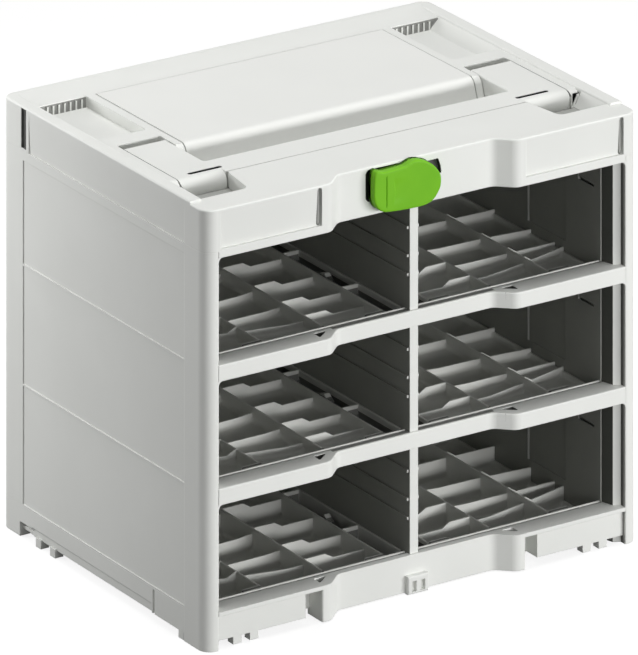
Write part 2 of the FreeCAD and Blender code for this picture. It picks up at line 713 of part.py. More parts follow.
# ---------------------------------------------------------------- rib trays

def row_piece(x0, start0, x1, start1, z0, z1):
    """Straight cross rib between two places given by their distance from the tray front."""
    y0 = TRAY_FRONT + start0
    y1 = TRAY_FRONT + start1
    return prism([(x0, y0, 0), (x1, y1, 0), (x1, y1 + RIB, 0), (x0, y0 + RIB, 0)], z0, z1)


def stepped_row(start, z0, z1):
    """Cross rib of the inner column: full height by the long rib, then a ramp down to the low part."""
    first, second = LONG_RIBS[:2]
    tab = second - TAB_LENGTH
    low = z1 - LOW_DROP
    outline = [(first, z0), (second, z0), (second, z1), (tab, z1), (tab - RAMP_LENGTH, low), (first, low)]
    y = TRAY_FRONT + start
    return front_prism(outline, y, y + RIB)


def outer_row(start0, start1, z0, z1):
    """Cross rib of the outer column: a ramp by the long rib, a low run and a small horn at the wall."""
    x0 = LONG_RIBS[2]
    x1 = TRAY_OUT_X - 1
    low = z1 - LOW_DROP
    y0 = TRAY_FRONT + start0
    y1 = TRAY_FRONT + start1
    ramp = front_prism([(x0, z0), (x0 + OUTER_RAMP, z0), (x0 + OUTER_RAMP, low), (x0 + 1.5, z1), (x0, z1)],
                       y0, y0 + RIB)
    horn = front_prism([(x1 - HORN_LENGTH, z0), (x1, z0), (x1, low + HORN_RISE), (x1 - HORN_LENGTH, low)],
                       y1, y1 + RIB)
    return [row_piece(x0, start0, x1, start1, z0, low), ramp, horn]


def rib_tray(level):
    """Floor of one bay: thin sheet with three long ribs and a lattice of cross ribs."""
    z1 = bar_top(level) - RIB_DROP
    z0 = tray_bottom(level)
    lip_top = bar_top(level) + LIP_RISE
    second_y = TRAY_FRONT + SECOND_LIP
    pieces = [
        box(TRAY_IN_X, TRAY_OUT_X, TRAY_FRONT, TRAY_REAR, z0, z0 + TRAY_FLOOR),
        box(TRAY_IN_X, TRAY_OUT_X, TRAY_FRONT, TRAY_FRONT + RIB, z0, lip_top),
        box(TRAY_IN_X, TRAY_OUT_X, second_y, second_y + 1.2, z0, z1 - 1.2),
        box(TRAY_IN_X, TRAY_OUT_X, TRAY_REAR - RIB, TRAY_REAR, z0, z0 + EDGE_HEIGHT),
        box(TRAY_IN_X, TRAY_IN_X + RIB, TRAY_FRONT, TRAY_REAR, z0, z0 + EDGE_HEIGHT),
        box(TRAY_OUT_X - RIB, TRAY_OUT_X, TRAY_FRONT, TRAY_REAR, z0, z0 + EDGE_HEIGHT)]
    for x in LONG_RIBS:
        pieces.append(box(x - RIB / 2, x + RIB / 2, TRAY_FRONT, TRAY_REAR, z0, z1))
    second, third = LONG_RIBS[1:]
    for inner, middle, outer, wall in CROSS_ROWS:
        pieces.append(stepped_row(inner, z0, z1))
        bend = second + BEND_LENGTH
        turn = inner if outer > inner else middle
        pieces.append(row_piece(second, inner, bend, turn, z0, z1))
        pieces.append(row_piece(bend, turn, third, outer, z0, z1))
        pieces.extend(outer_row(outer, wall, z0, z1))
    for x0 in (LONG_RIBS[0], LONG_RIBS[2]):
        pieces.append(box(x0, x0 + PLATE_LENGTH, TRAY_FRONT, second_y + 1.2, z1 - 2.2, lip_top))
    tongue = DIVIDER_X + TONGUE_IN
    slot_front = TRAY_FRONT + TONGUE_START + 2
    slot = box(tongue - 1, tongue + TONGUE_WIDTH + 1, slot_front, slot_front + TONGUE_SLOT, z0 - 1, z0 + 3)
    return join(pieces).cut(slot)


def box_tongue(level):
    """Springy catch in the channel beside the divider that holds a tool box in the bay."""
    low = tray_bottom(level) + TRAY_FLOOR
    peak = bar_top(level) - RIB_DROP - TONGUE_DROP
    front = TRAY_FRONT + TONGUE_START - 1
    root = front + TONGUE_LENGTH
    outline = [(root, low), (root, low + TONGUE_THICK), (front + 7, peak), (front + 1, peak - 4),
               (front, peak - 4), (front, low + 4), (front + TONGUE_THICK, low + 4),
               (front + TONGUE_THICK, peak - 5), (front + 7, peak - 1.7), (root - 4, low)]
    x0 = DIVIDER_X + TONGUE_IN
    return side_prism(outline, x0, x0 + TONGUE_WIDTH)


def box_tongues():
    tongues = []
    for level in range(LEVELS):
        tongues.extend(both_sides(box_tongue(level)))
    return Part.makeCompound(tongues)


# ---------------------------------------------------------------- lid

def lid_outline(inset):
    half = HALF - inset
    rear = REAR - inset
    radius = CORNER - inset
    return [(-half, rear, radius), (-half, -rear, radius)] + wave_front(inset) + [
        (half, -rear, radius), (half, rear, radius)]


def raised_edge():
    """Slightly higher border round the sides and the rear, with a gentle ramp up to it at the rear."""
    rear = REAR - RAISED_REAR
    plan = [(-HALF, RAISED_FRONT, 0), (-RAISED_IN, RAISED_FRONT, 0), (-RAISED_IN, rear, 1),
            (RAISED_IN, rear, 1), (RAISED_IN, RAISED_FRONT, 0), (HALF, RAISED_FRONT, 0),
            (HALF, REAR, CORNER), (-HALF, REAR, CORNER)]
    border = prism(plan, LID_TOP - LID_EDGE - 1, HEIGHT)
    border = soften(border, RAISED_EDGE, lambda b: b.ZMin > HEIGHT - 0.01 and b.YMax > RAISED_FRONT + 1)
    ramp = side_prism([(rear - RAISED_RAMP, LID_TOP - 1), (rear - RAISED_RAMP, LID_TOP),
                       (rear + RAISED_EDGE + 0.4, HEIGHT), (rear + RAISED_EDGE + 0.4, LID_TOP - 1)],
                      -RAISED_IN - 0.5, RAISED_IN + 0.5)
    return [border, ramp]


def lid_skin():
    block = prism(lid_outline(0), LID_BOTTOM, LID_TOP)
    block = soften(block, LID_EDGE, lambda b: b.ZMin > LID_TOP - 0.01)
    cavity = prism(lid_outline(WALL), LID_BOTTOM - 1, LID_TOP - WALL)
    header = prism(bar_outline(), HEADER_BOTTOM, LID_BOTTOM)
    return block.cut(cavity).fuse([header] + raised_edge())


def hollow(x0, x1, y0, y1, floor, wall):
    """A rounded hollow of the lid top; with a wall it is the solid that surrounds the hollow."""
    top = LID_TOP - WALL if wall else HEIGHT + 1
    return rounded_box(x0 - wall, x1 + wall, y0 - wall, y1 + wall, floor - wall, top, WELL_RADIUS + wall)


def leaning(out, lean, floor, wall):
    """Everything inside an outer wall that leans outwards from the floor to the lid top."""
    side = -out - wall
    low = floor - wall
    outline = [(side, HEIGHT + 1), (side, LID_TOP), (side + lean, low), (0, low), (0, HEIGHT + 1)]
    return front_prism(outline, FRONT, REAR)


def stacking_pocket(wall):
    """Rear pocket: leaning outer wall, ramp at the front and a little draft at the rear."""
    room = hollow(-POCKET_OUT, -POCKET_IN, POCKET_FRONT, POCKET_REAR, POCKET_FLOOR, wall)
    near = POCKET_FRONT - wall
    far = POCKET_REAR + wall
    low = POCKET_FLOOR - wall
    outline = [(near, HEIGHT + 1), (near, LID_TOP), (near + POCKET_RAMP, low), (far - POCKET_DRAFT, low),
               (far, LID_TOP), (far, HEIGHT + 1)]
    room = room.common(side_prism(outline, -HALF, 0))
    return room.common(leaning(POCKET_OUT, POCKET_LEAN, POCKET_FLOOR, wall))


def stacking_notch(wall):
    """Notch in front of an arm: leaning outer wall, tapered and rounded inner wall."""
    top = LID_TOP - WALL if wall else HEIGHT + 1
    near = NOTCH_FRONT - wall
    far = BAR_WELL_FRONT + 1
    inner = -NOTCH_IN + wall
    plan = [(-NOTCH_OUT - wall, far, 0), (-NOTCH_OUT - wall, near, 0),
            (inner - NOTCH_TAPER, near, NOTCH_RADIUS + wall), (inner, far, 0)]
    return prism(plan, NOTCH_FLOOR - wall, top).common(leaning(NOTCH_OUT, NOTCH_LEAN, NOTCH_FLOOR, wall))


def nose_cut(x0, x1, radius):
    """What is taken off the square front end of an arm, or of the ledge beside it, to round it."""
    block = box(x0, x1, NOSE_FRONT - 1, NOSE_Y, NOSE_Z, HEIGHT + 1)
    return block.cut(cylinder_x(radius, NOSE_Y, NOSE_Z, x0 - 1, x1 + 1))


def wells(wall):
    """Wells for the handle bar, the fingers and both arms, stacking notches and pockets."""
    overlap = 8.0
    bar = hollow(-WELL_OUT, WELL_OUT, BAR_WELL_FRONT, BAR_REAR_Y + 2, WELL_FLOOR, wall)
    fingers = hollow(-WELL_IN - 1, WELL_IN + 1, BAR_REAR_Y - overlap, PANEL_FRONT + SLOPE_WALL,
                     WELL_FLOOR, wall)
    arm = hollow(-WELL_OUT, -WELL_IN, BAR_REAR_Y - overlap, WELL_REAR, WELL_FLOOR, wall)
    nose_room = box(-WELL_OUT - wall, -NOTCH_IN + wall, NOSE_FRONT - HANDLE_GAP - wall, BAR_WELL_FRONT + 3,
                    HANDLE_BOTTOM - 1 - wall, LID_TOP - WALL if wall else HEIGHT + 1)
    return [bar, fingers] + both_sides(arm, nose_room, stacking_notch(wall), stacking_pocket(wall))


def pocket_teeth():
    """Row of small teeth at the rear end of each stacking pocket."""
    teeth = []
    for i in range(TEETH):
        x0 = -POCKET_IN - 4 - i * TOOTH_PITCH
        teeth.append(box(x0 - TOOTH, x0, POCKET_REAR - POCKET_DRAFT - 0.4, POCKET_REAR + 0.5,
                         POCKET_FLOOR - 0.5, LID_TOP - 1.5))
    return both_sides(*teeth)


def finger_slope(x0, x1, back, top, inner):
    """Block whose front rounds over from the top and drops to the well floor; inner is its inside."""
    block = side_prism([(back, top), (PANEL_FRONT, top), (SLOPE_FOOT, WELL_FLOOR)] + inner, x0, x1)
    return soften(block, SLOPE_RADIUS, lambda b: b.XLength > 1 and b.ZMin > top - 0.01
                  and b.YMax < PANEL_FRONT + 0.01)


def lid_supports():
    """Seat of the centre panel, latch boss, backs of the label fields and the screw bosses."""
    seat = box(-PANEL_HALF - 3, PANEL_HALF + 3, PANEL_FRONT + 3, PANEL_REAR + 3, SEAT_Z - WALL, SEAT_Z)
    boss = box(-ROOM_LENGTH - LATCH_BOSS_SIDE, STOP_RADIUS + LATCH_BOSS_SIDE, MIDDLE_FRONT + 1,
               LATCH_BOSS_BACK, LID_BOTTOM, LID_TOP - WALL)
    backing = box(-LABEL_OUT - WALL, -LABEL_IN + WALL, FRONT + 1, FRONT + LABEL_BACKING,
                  LID_BOTTOM, LID_TOP - 1)
    bar_boss = cylinder_z(LID_BOSS_RADIUS, *BAR_SCREW, CEILING_TOP, WELL_FLOOR - 1.5)
    pocket_boss = cylinder_z(LID_BOSS_RADIUS, *POCKET_SCREW, CEILING_TOP, POCKET_FLOOR - 1.5)
    return [seat, boss] + both_sides(backing, bar_boss, pocket_boss)


def finger_cheek():
    """Lid material beside the centre panel that repeats the panel's rounded front."""
    back = PANEL_FRONT + CHEEK_LENGTH
    return finger_slope(-WELL_IN - 0.2, -PANEL_ROOM, back, LID_TOP, [(back, WELL_FLOOR)])


def label_cuts():
    """Sloping label fields, flush at the top, with an upright slot at the right end of each."""
    top = LID_TOP - LABEL_TOP
    field = side_prism([(FRONT - 1, LABEL_BOTTOM), (FRONT + LABEL_DEPTH, LABEL_BOTTOM), (FRONT, top),
                        (FRONT - 1, top)], -LABEL_OUT, -LABEL_IN)
    radius = LABEL_SLOT / 2
    cuts = both_sides(field)
    for x in (-LABEL_IN - radius, LABEL_OUT - radius):
        low = LABEL_BOTTOM + radius
        high = top - radius
        back = FRONT + LABEL_BACKING - 1.5
        cuts.append(box(x - radius, x + radius, FRONT - 1, back, low, high))
        cuts.append(cylinder_y(radius, x, low, FRONT - 1, back))
        cuts.append(cylinder_y(radius, x, high, FRONT - 1, back))
    return cuts


def latch_cuts():
    """Room behind the paddle and its stop in the lid front, seat and bore of the spindle."""
    back = MIDDLE_FRONT + ROOM_DEPTH
    room = box(-ROOM_LENGTH, 0, MIDDLE_FRONT - 1, back, HUB_Z - ROOM_BELOW, HUB_Z + ROOM_ABOVE)
    room = soften(room, ROOM_RADIUS, lambda b: b.YLength > 1 and b.XMax < -1)
    ring = cylinder_y(STOP_RADIUS, 0, HUB_Z, MIDDLE_FRONT - 1, back)
    stop = ring.common(box(HUB_RADIUS / 2, STOP_RADIUS, MIDDLE_FRONT - 1, back, HUB_Z, HUB_Z + STOP_HEIGHT))
    seat = cylinder_y(SEAT_RADIUS + SLIP, 0, HUB_Z, MIDDLE_FRONT - 1, MIDDLE_FRONT + SEAT_DEPTH)
    bore = cylinder_y(SPINDLE_RADIUS + RUN, 0, HUB_Z, MIDDLE_FRONT - 1, LATCH_BOSS_BACK + 1)
    return [room, stop, seat, bore]


def lid_cuts():
    """Panel recess, pin holes, ledge noses, tapered sides, upright side slots and screw bores."""
    recess = box(-PANEL_ROOM, PANEL_ROOM, PANEL_FRONT - 2, PANEL_REAR + PANEL_GROOVE, SEAT_Z, HEIGHT)
    pin_in = cylinder_x(PIN_RADIUS + RUN, HINGE_Y, HINGE_Z, -WELL_IN - 0.5, -WELL_IN + PIN_GRIP + 0.5)
    pin_out = cylinder_x(PIN_RADIUS + RUN, HINGE_Y, HINGE_Z, -WELL_OUT - PIN_GRIP - 0.5, -WELL_OUT + 0.5)
    ledge = nose_cut(-RAISED_IN, -WELL_OUT + 0.1, NOSE_RADIUS)
    taper = front_prism([(-HALF - 1, LID_BOTTOM - 1), (-HALF + SIDE_TAPER, LID_BOTTOM - 1),
                         (-HALF, LID_TOP - 2), (-HALF - 1, LID_TOP - 2)], POST_BACK, REAR - SIDE_SLOT_IN - 4)
    slot = box(-HALF - 1, -HALF + 1.6, REAR - SIDE_SLOT_IN, REAR - SIDE_SLOT_IN + SIDE_SLOT,
               LABEL_BOTTOM, LID_TOP + EDGE_RISE / 4)
    bores = []
    for x, y in ceiling_screw_spots():
        bores.append(cylinder_z(CEILING_SCREW_RADIUS + BUTT, x, y, CEILING_TOP - 1,
                                CEILING_BOTTOM + CEILING_SCREW_LENGTH + 0.5))
    return [recess] + both_sides(pin_in, pin_out, ledge, taper, slot) + bores


def lid():
    whole = join([lid_skin()] + wells(WELL_WALL) + lid_supports())
    whole = join([whole.cut(wells(0))] + pocket_teeth() + both_sides(finger_cheek()))
    return whole.cut(lid_cuts() + label_cuts() + latch_cuts())


def top_panel():
    """Flush centre panel of the lid with its rounded, steep front."""
    inner = [(SLOPE_FOOT + SLOPE_WALL, WELL_FLOOR), (PANEL_FRONT + SLOPE_WALL, SEAT_Z),
             (PANEL_REAR, SEAT_Z)]
    return finger_slope(-PANEL_HALF, PANEL_HALF, PANEL_REAR, PANEL_TOP, inner)


# ---------------------------------------------------------------- carry handle

def handle_plan(inset):
    """U-shaped plan of the handle: an arm at each side, and ends that stand a little further forward."""
    far = ARM_OUT - inset
    near = ARM_IN + inset
    front = BAR_FRONT_Y + inset
    nose = NOSE_FRONT + inset
    step = NOSE_IN + inset
    back = BAR_REAR_Y - inset
    tail = ARM_REAR - inset
    right = [(step, front, 1), (step, nose, 1), (far, nose, NOSE_CORNER - inset), (far, tail, 0),
             (near, tail, 0), (near, back, 3 + inset)]
    return right + [(-x, y, radius) for x, y, radius in reversed(right)]


def handle():
    body = prism(handle_plan(0), HANDLE_BOTTOM, HANDLE_TOP)
    body = soften(body, HANDLE_EDGE, lambda b: b.ZMin > HANDLE_TOP - 0.01 and b.YMin > BAR_REAR_Y - 0.01
                  and abs(b.XMin) < ARM_IN + 0.01 and abs(b.XMax) < ARM_IN + 0.01)
    body = body.cut(both_sides(nose_cut(-ARM_OUT - 1, -NOSE_IN, NOSE_RADIUS)))
    room = prism(handle_plan(HANDLE_WALL), HANDLE_BOTTOM - 1, HANDLE_TOP - HANDLE_WALL)
    inner_nose = nose_cut(-ARM_OUT, -NOSE_IN + HANDLE_WALL, NOSE_RADIUS - HANDLE_WALL)
    pieces = [body.cut(room.cut(both_sides(inner_nose)))]
    count = int(WELL_IN // WEB_PITCH)
    for i in range(-count, count + 1):
        x = i * WEB_PITCH
        pieces.append(box(x - 1, x + 1, BAR_FRONT_Y + 2, BAR_REAR_Y - 2, HANDLE_BOTTOM + 1.5, HANDLE_TOP - 2))
    pieces += both_sides(cylinder_x(KNUCKLE_RADIUS, HINGE_Y, HINGE_Z, -ARM_OUT + 0.4, -ARM_IN - 0.4))
    bore = cylinder_x(PIN_RADIUS + RUN, HINGE_Y, HINGE_Z, -WELL_OUT - 2, -WELL_IN + 2)
    slot_x = -ARM_IN - SLOT_IN
    slot_y = BAR_REAR_Y - SLOT_BACK
    slot = rounded_box(slot_x - SLOT_HALF, slot_x + SLOT_HALF, slot_y - SLOT_WIDE / 2, slot_y + SLOT_WIDE / 2,
                       HANDLE_TOP - 2 * HANDLE_WALL, HANDLE_TOP + 1, SLOT_WIDE / 2 - 0.01)
    return join(pieces).cut(both_sides(bore, slot))


def handle_pins():
    pin = cylinder_x(PIN_RADIUS, HINGE_Y, HINGE_Z, -WELL_OUT - PIN_GRIP, -WELL_IN + PIN_GRIP)
    return Part.makeCompound(both_sides(pin))


# ---------------------------------------------------------------- stacking latch

def latch_paddle():
    """Hub disc and paddle drawn lying flat with the front upwards, then stood up on the hub axis."""
    tip = -LATCH_LENGTH
    flat = prism([(tip, -LATCH_BELOW, 5), (tip, LATCH_ABOVE - 3.5, 5), (-13.5, LATCH_ABOVE - 0.5, 3),
                  (-4, LATCH_ABOVE + 1, 0), (0, 0, 0), (0, -HUB_RADIUS, 0)], 0, LATCH_THICK)
    body = join([flat, cylinder_z(HUB_RADIUS, 0, 0, 0, LATCH_THICK)])
    body = soften(body, LATCH_EDGE, lambda b: b.ZMin > LATCH_THICK - 0.01)
    hub_room = cylinder_z(HUB_RADIUS - HUB_RIM, 0, 0, -1, HUB_RECESS)
    grip = box(tip + 12, tip + 12.8, -9, 9, LATCH_THICK - 0.5, LATCH_THICK + 1)
    under = prism([(tip + 3, 3.5 - LATCH_BELOW, 3), (tip + 3, LATCH_ABOVE - 7, 3),
                   (-HUB_RADIUS - 2.3, LATCH_ABOVE - 5, 3), (-HUB_RADIUS - 2.3, 2.5 - LATCH_BELOW, 3)],
                  -1, LATCH_THICK - 3)
    body = body.cut([hub_room, grip, under])
    body.rotate(FreeCAD.Vector(0, 0, 0), FreeCAD.Vector(1, 0, 0), 90)
    body.translate(FreeCAD.Vector(0, LATCH_BACK, HUB_Z))
    return body


def latch_spindle():
    """Turning shaft with the dark hub plate behind the paddle."""
    shaft = cylinder_y(SPINDLE_RADIUS, 0, HUB_Z, MIDDLE_FRONT + 1, WASHER_Y)
    plate = cylinder_y(SEAT_RADIUS, 0, HUB_Z, LATCH_BACK + 0.02, MIDDLE_FRONT + SEAT_DEPTH - SLIP)
    hub = cylinder_y(HUB_RADIUS - HUB_RIM - 0.2, 0, HUB_Z, LATCH_BACK - HUB_RECESS + BUTT, LATCH_BACK + BUTT)
    bore = cylinder_y(LATCH_SCREW_RADIUS + BUTT, 0, HUB_Z, MIDDLE_FRONT + 2, WASHER_Y + 2)
    return join([shaft, plate, hub]).cut(bore)


def latch_washer():
    washer = cylinder_y(WASHER_RADIUS, 0, HUB_Z, WASHER_Y, WASHER_Y + WASHER_THICK)
    bore = cylinder_y(LATCH_SCREW_RADIUS + BUTT, 0, HUB_Z, WASHER_Y - 1, WASHER_Y + WASHER_THICK + 1)
    return washer.cut(bore)


def latch_screw():
    seat = WASHER_Y + WASHER_THICK
    head = cylinder_y(LATCH_SCREW_HEAD, 0, HUB_Z, seat, seat + HEAD_HEIGHT)
    shaft = cylinder_y(LATCH_SCREW_RADIUS, 0, HUB_Z, MIDDLE_FRONT + 3, seat + BUTT)
    recess = cylinder_y(LATCH_SCREW_RADIUS, 0, HUB_Z, seat + HEAD_HEIGHT - 1, seat + HEAD_HEIGHT + 1)
    return join([head, shaft]).cut(recess)


# ---------------------------------------------------------------- screws

def screw_up(x, y, seat, head_height, head_radius, tip, radius):
    """Screw driven upwards with its head below the seat."""
    low = seat - head_height
    head = cylinder_z(head_radius, x, y, low, seat)
    shaft = cylinder_z(radius, x, y, seat - BUTT, tip)
    recess = cylinder_z(head_radius / 2.5, x, y, low - 1, low + 1.1)
    return join([head, shaft]).cut(recess)


def base_screws():
    screws = []
    for x, y in BASE_SCREWS:
        screws.append(screw_up(x, y, FOOT_HEIGHT, HEAD_HEIGHT, BASE_SCREW_HEAD, BASE_SCREW_TIP,
                               BASE_SCREW_RADIUS))
    return Part.makeCompound(screws)


def ceiling_screws():
    tip = CEILING_BOTTOM + CEILING_SCREW_LENGTH
    screws = []
    for x, y in ceiling_screw_spots():
        screws.append(screw_up(x, y, CEILING_BOTTOM, CEILING_HEAD_HEIGHT, CEILING_SCREW_HEAD, tip,
                               CEILING_SCREW_RADIUS))
    return Part.makeCompound(screws)


def named_parts():
    names = {
        "base_shell": base_shell(),
        "base_catch": base_catch(),
        "front_frame": front_frame(),
        "left_side_shell": side_shell(),
        "right_side_shell": mirrored(side_shell()),
        "back_panel": back_panel(),
        "centre_divider": centre_divider(),
        "left_bay_liner": bay_liner(),
        "right_bay_liner": mirrored(bay_liner()),
        "bay_ceiling": bay_ceiling(),
        "box_tongues": box_tongues(),
        "lid": lid(),
        "top_panel": top_panel(),
        "carry_handle": handle(),
        "handle_pins": handle_pins(),
        "latch_paddle": latch_paddle(),
        "latch_spindle": latch_spindle(),
        "latch_washer": latch_washer(),
        "latch_screw": latch_screw(),
        "base_screws": base_screws(),
        "ceiling_screws": ceiling_screws(),
    }
    for level, word in enumerate(("bottom", "middle", "top")):
        tray = rib_tray(level)
        names[word + "_right_rib_tray"] = tray
        names[word + "_left_rib_tray"] = mirrored(tray)
    return names


os.makedirs("parts", exist_ok=True)
for name, shape in named_parts().items():
    shape.exportStep("parts/" + name + ".step")
    print(name, len(shape.Solids), "solid(s)", round(shape.Volume / 1000, 1), "cm3", shape.isValid())
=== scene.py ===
# Looks of the storage rack: camera, finishes, latch paddle, rib trays, floor and lights.
# Everything is in metres, in the same frame as the CAD model.
import bpy, bmesh, math, json
from mathutils import Matrix, Vector, geometry


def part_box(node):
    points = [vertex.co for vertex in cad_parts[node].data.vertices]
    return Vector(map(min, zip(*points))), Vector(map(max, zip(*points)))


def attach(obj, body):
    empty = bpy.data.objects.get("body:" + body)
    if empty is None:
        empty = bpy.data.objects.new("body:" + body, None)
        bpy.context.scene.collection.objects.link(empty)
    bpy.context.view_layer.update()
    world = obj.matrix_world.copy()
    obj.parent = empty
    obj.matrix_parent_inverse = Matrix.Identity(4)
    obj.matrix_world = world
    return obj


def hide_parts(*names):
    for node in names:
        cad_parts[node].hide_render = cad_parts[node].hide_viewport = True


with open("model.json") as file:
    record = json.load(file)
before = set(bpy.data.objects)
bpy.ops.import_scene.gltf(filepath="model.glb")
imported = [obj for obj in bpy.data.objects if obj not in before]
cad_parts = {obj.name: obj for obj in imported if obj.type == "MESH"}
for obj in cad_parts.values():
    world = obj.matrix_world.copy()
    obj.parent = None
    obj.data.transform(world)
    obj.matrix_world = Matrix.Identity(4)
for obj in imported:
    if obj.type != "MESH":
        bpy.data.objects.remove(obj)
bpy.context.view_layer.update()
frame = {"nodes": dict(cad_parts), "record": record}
nodes = frame["nodes"]
print("frame loaded,", len(nodes), "nodes")


# Camera: its place and lens, with uprights kept parallel.
cameraFit = {
    "turn": 33.03,              # degrees to the left of the front
    "distance": 7.857,          # level distance from the rack's centre
    "height": 3.097,
    "focal": 10145.0,           # pixels of the finished picture
    "horizon": -3466.0,         # row of the horizon, far above the picture
    "rows": 655,
    "sensor": 36,
    "farClip": 100,
}


def placeCamera(fit):                               # the stretched holder shears the view
    turn = math.radians(fit["turn"])
    right = Vector((math.cos(turn), -math.sin(turn), 0))
    up = Vector((0, 0, 1))
    ahead = Vector((math.sin(turn), math.cos(turn), 0))
    centre = ahead - up * ((fit["rows"] / 2 - fit["horizon"]) / fit["focal"])
    back = -centre.normalized()
    first = (up + back).normalized()
    second = (up - back).normalized()
    turned = Matrix((right, first, second)).transposed()
    if turned.determinant() < 0:
        second = -second
        turned = Matrix((right, first, second)).transposed()
    halfAngle = up.angle(back) / 2
    stretch = Vector((1, math.cos(halfAngle), math.sin(halfAngle))) * math.sqrt(2)

    data = bpy.data.cameras.new("rackCamera")
    data.sensor_width = fit["sensor"]
    data.lens = fit["focal"] * centre.length / fit["rows"] * data.sensor_width
    data.clip_end = fit["farClip"]
    camera = bpy.data.objects.new("rackCamera", data)
    holder = bpy.data.objects.new("cameraHolder", None)
    for item in (holder, camera):
        bpy.context.scene.collection.objects.link(item)
        item.rotation_mode = "QUATERNION"
    holder.location = ahead * -fit["distance"] + up * fit["height"]
    holder.rotation_quaternion = turned.to_quaternion()
    holder.scale = (1, stretch.y, stretch.z)
    camera.parent = holder
    localUp = Vector((0, up.dot(first) / stretch.y, up.dot(second) / stretch.z))
    localBack = Vector((0, back.dot(first) / stretch.y, back.dot(second) / stretch.z))
    camera.rotation_quaternion = Matrix((Vector((1, 0, 0)), localUp, localBack)).transposed().to_quaternion()
    bpy.context.scene.camera = camera


placeCamera(cameraFit)
print("camera placed")


class Signal:                                       # one socket of a shader, so that sums read as sums
    def __init__(self, tree, socket):
        self.tree = tree
        self.socket = socket

    def sum(self, operation, other=None, swapped=False):
        node = self.tree.nodes.new("ShaderNodeMath")
        node.operation = operation
        terms = (other, self) if swapped else (self, other)
        for place, term in zip(node.inputs, terms):
            if isinstance(term, Signal):
                self.tree.links.new(term.socket, place)
            elif term is not None:
                place.default_value = term
        return Signal(self.tree, node.outputs[0])

    def __add__(self, other): return self.sum("ADD", other)
    def __radd__(self, other): return self.sum("ADD", other, True)
    def __sub__(self, other): return self.sum("SUBTRACT", other)
    def __rsub__(self, other): return self.sum("SUBTRACT", other, True)
    def __mul__(self, other): return self.sum("MULTIPLY", other)
    def __rmul__(self, other): return self.sum("MULTIPLY", other, True)
    def __truediv__(self, other): return self.sum("DIVIDE", other)
    def __rtruediv__(self, other): return self.sum("DIVIDE", other, True)
    def __gt__(self, other): return self.sum("GREATER_THAN", other)
    def __lt__(self, other): return self.sum("LESS_THAN", other)
    def __abs__(self): return self.sum("ABSOLUTE")


edgeTest = {"samples": 6, "flat": 0.01, "sharp": 0.22}


class Finish:                                       # the nodes of one material, or of the world
    def __init__(self, owner):
        owner.use_nodes = True
        self.owner = owner
        self.tree = owner.node_tree
        self.tree.nodes.clear()

    def node(self, kind, settings=None, inputs=None, out=0):
        made = self.tree.nodes.new(kind)
        for key, value in (settings or {}).items():
            setattr(made, key, value)
        for key, value in (inputs or {}).items():
            if isinstance(value, Signal):
                self.tree.links.new(value.socket, made.inputs[key])
            else:
                made.inputs[key].default_value = value
        return Signal(self.tree, made.outputs[out]) if len(made.outputs) else None

    def place(self):
        return self.node("ShaderNodeTexCoord", out="Object")

    def noise(self, scale, detail=2.0, rough=0.5):
        return self.node("ShaderNodeTexNoise", inputs={
            "Vector": self.place(), "Scale": scale, "Detail": detail, "Roughness": rough})

    def axis(self, vector, name):
        return self.node("ShaderNodeSeparateXYZ", inputs={0: vector}, out=name)

    def facing(self, name):                         # how far the surface faces along one axis, -1 to 1
        return self.axis(self.node("ShaderNodeNewGeometry", out="Normal"), name)

    def blend(self, mask, first, second):           # first where the mask is 0, second where it is 1
        colours = [value if isinstance(value, Signal) else (*value, 1) for value in (first, second)]
        inputs = {0: mask, 6: colours[0], 7: colours[1]}
        return self.node("ShaderNodeMix", {"data_type": "RGBA"}, inputs, out=2)

    def step(self, value, low, high):               # 0 below low, 1 above high, smooth between
        return self.node("ShaderNodeMapRange", {"interpolation_type": "SMOOTHSTEP"}, {
            "Value": value, "From Min": low, "From Max": high})

    def edges(self, radius):                        # rounded normals, and 1 along the sharp edges
        rounded = self.node("ShaderNodeBevel", {"samples": edgeTest["samples"]}, {"Radius": radius})
        plain = self.node("ShaderNodeNewGeometry", out="Normal")
        inputs = {0: rounded, 1: plain}
        match = self.node("ShaderNodeVectorMath", {"operation": "DOT_PRODUCT"}, inputs, out="Value")
        return rounded, self.step(1 - match, edgeTest["flat"], edgeTest["sharp"])

    def surface(self, colour, rough, normal, **constants):
        inputs = {"Base Color": colour, "Roughness": rough, "Normal": normal, **constants}
        shader = self.node("ShaderNodeBsdfPrincipled", inputs=inputs)
        self.node("ShaderNodeOutputMaterial", inputs={"Surface": shader})
        return self.owner


plasticGrain = {                        # what all moulded plastics share
    "flowDetail": 3, "flowLow": 0.3, "flowHigh": 0.7,
    "speckDetail": 2, "speckRough": 0.6, "speckLow": 0.62, "speckHigh": 0.8,
    "flowSwing": 0.08, "speckSwing": 0.10, "edgePolish": 0.06, "grainDepth": 0.0002,
}


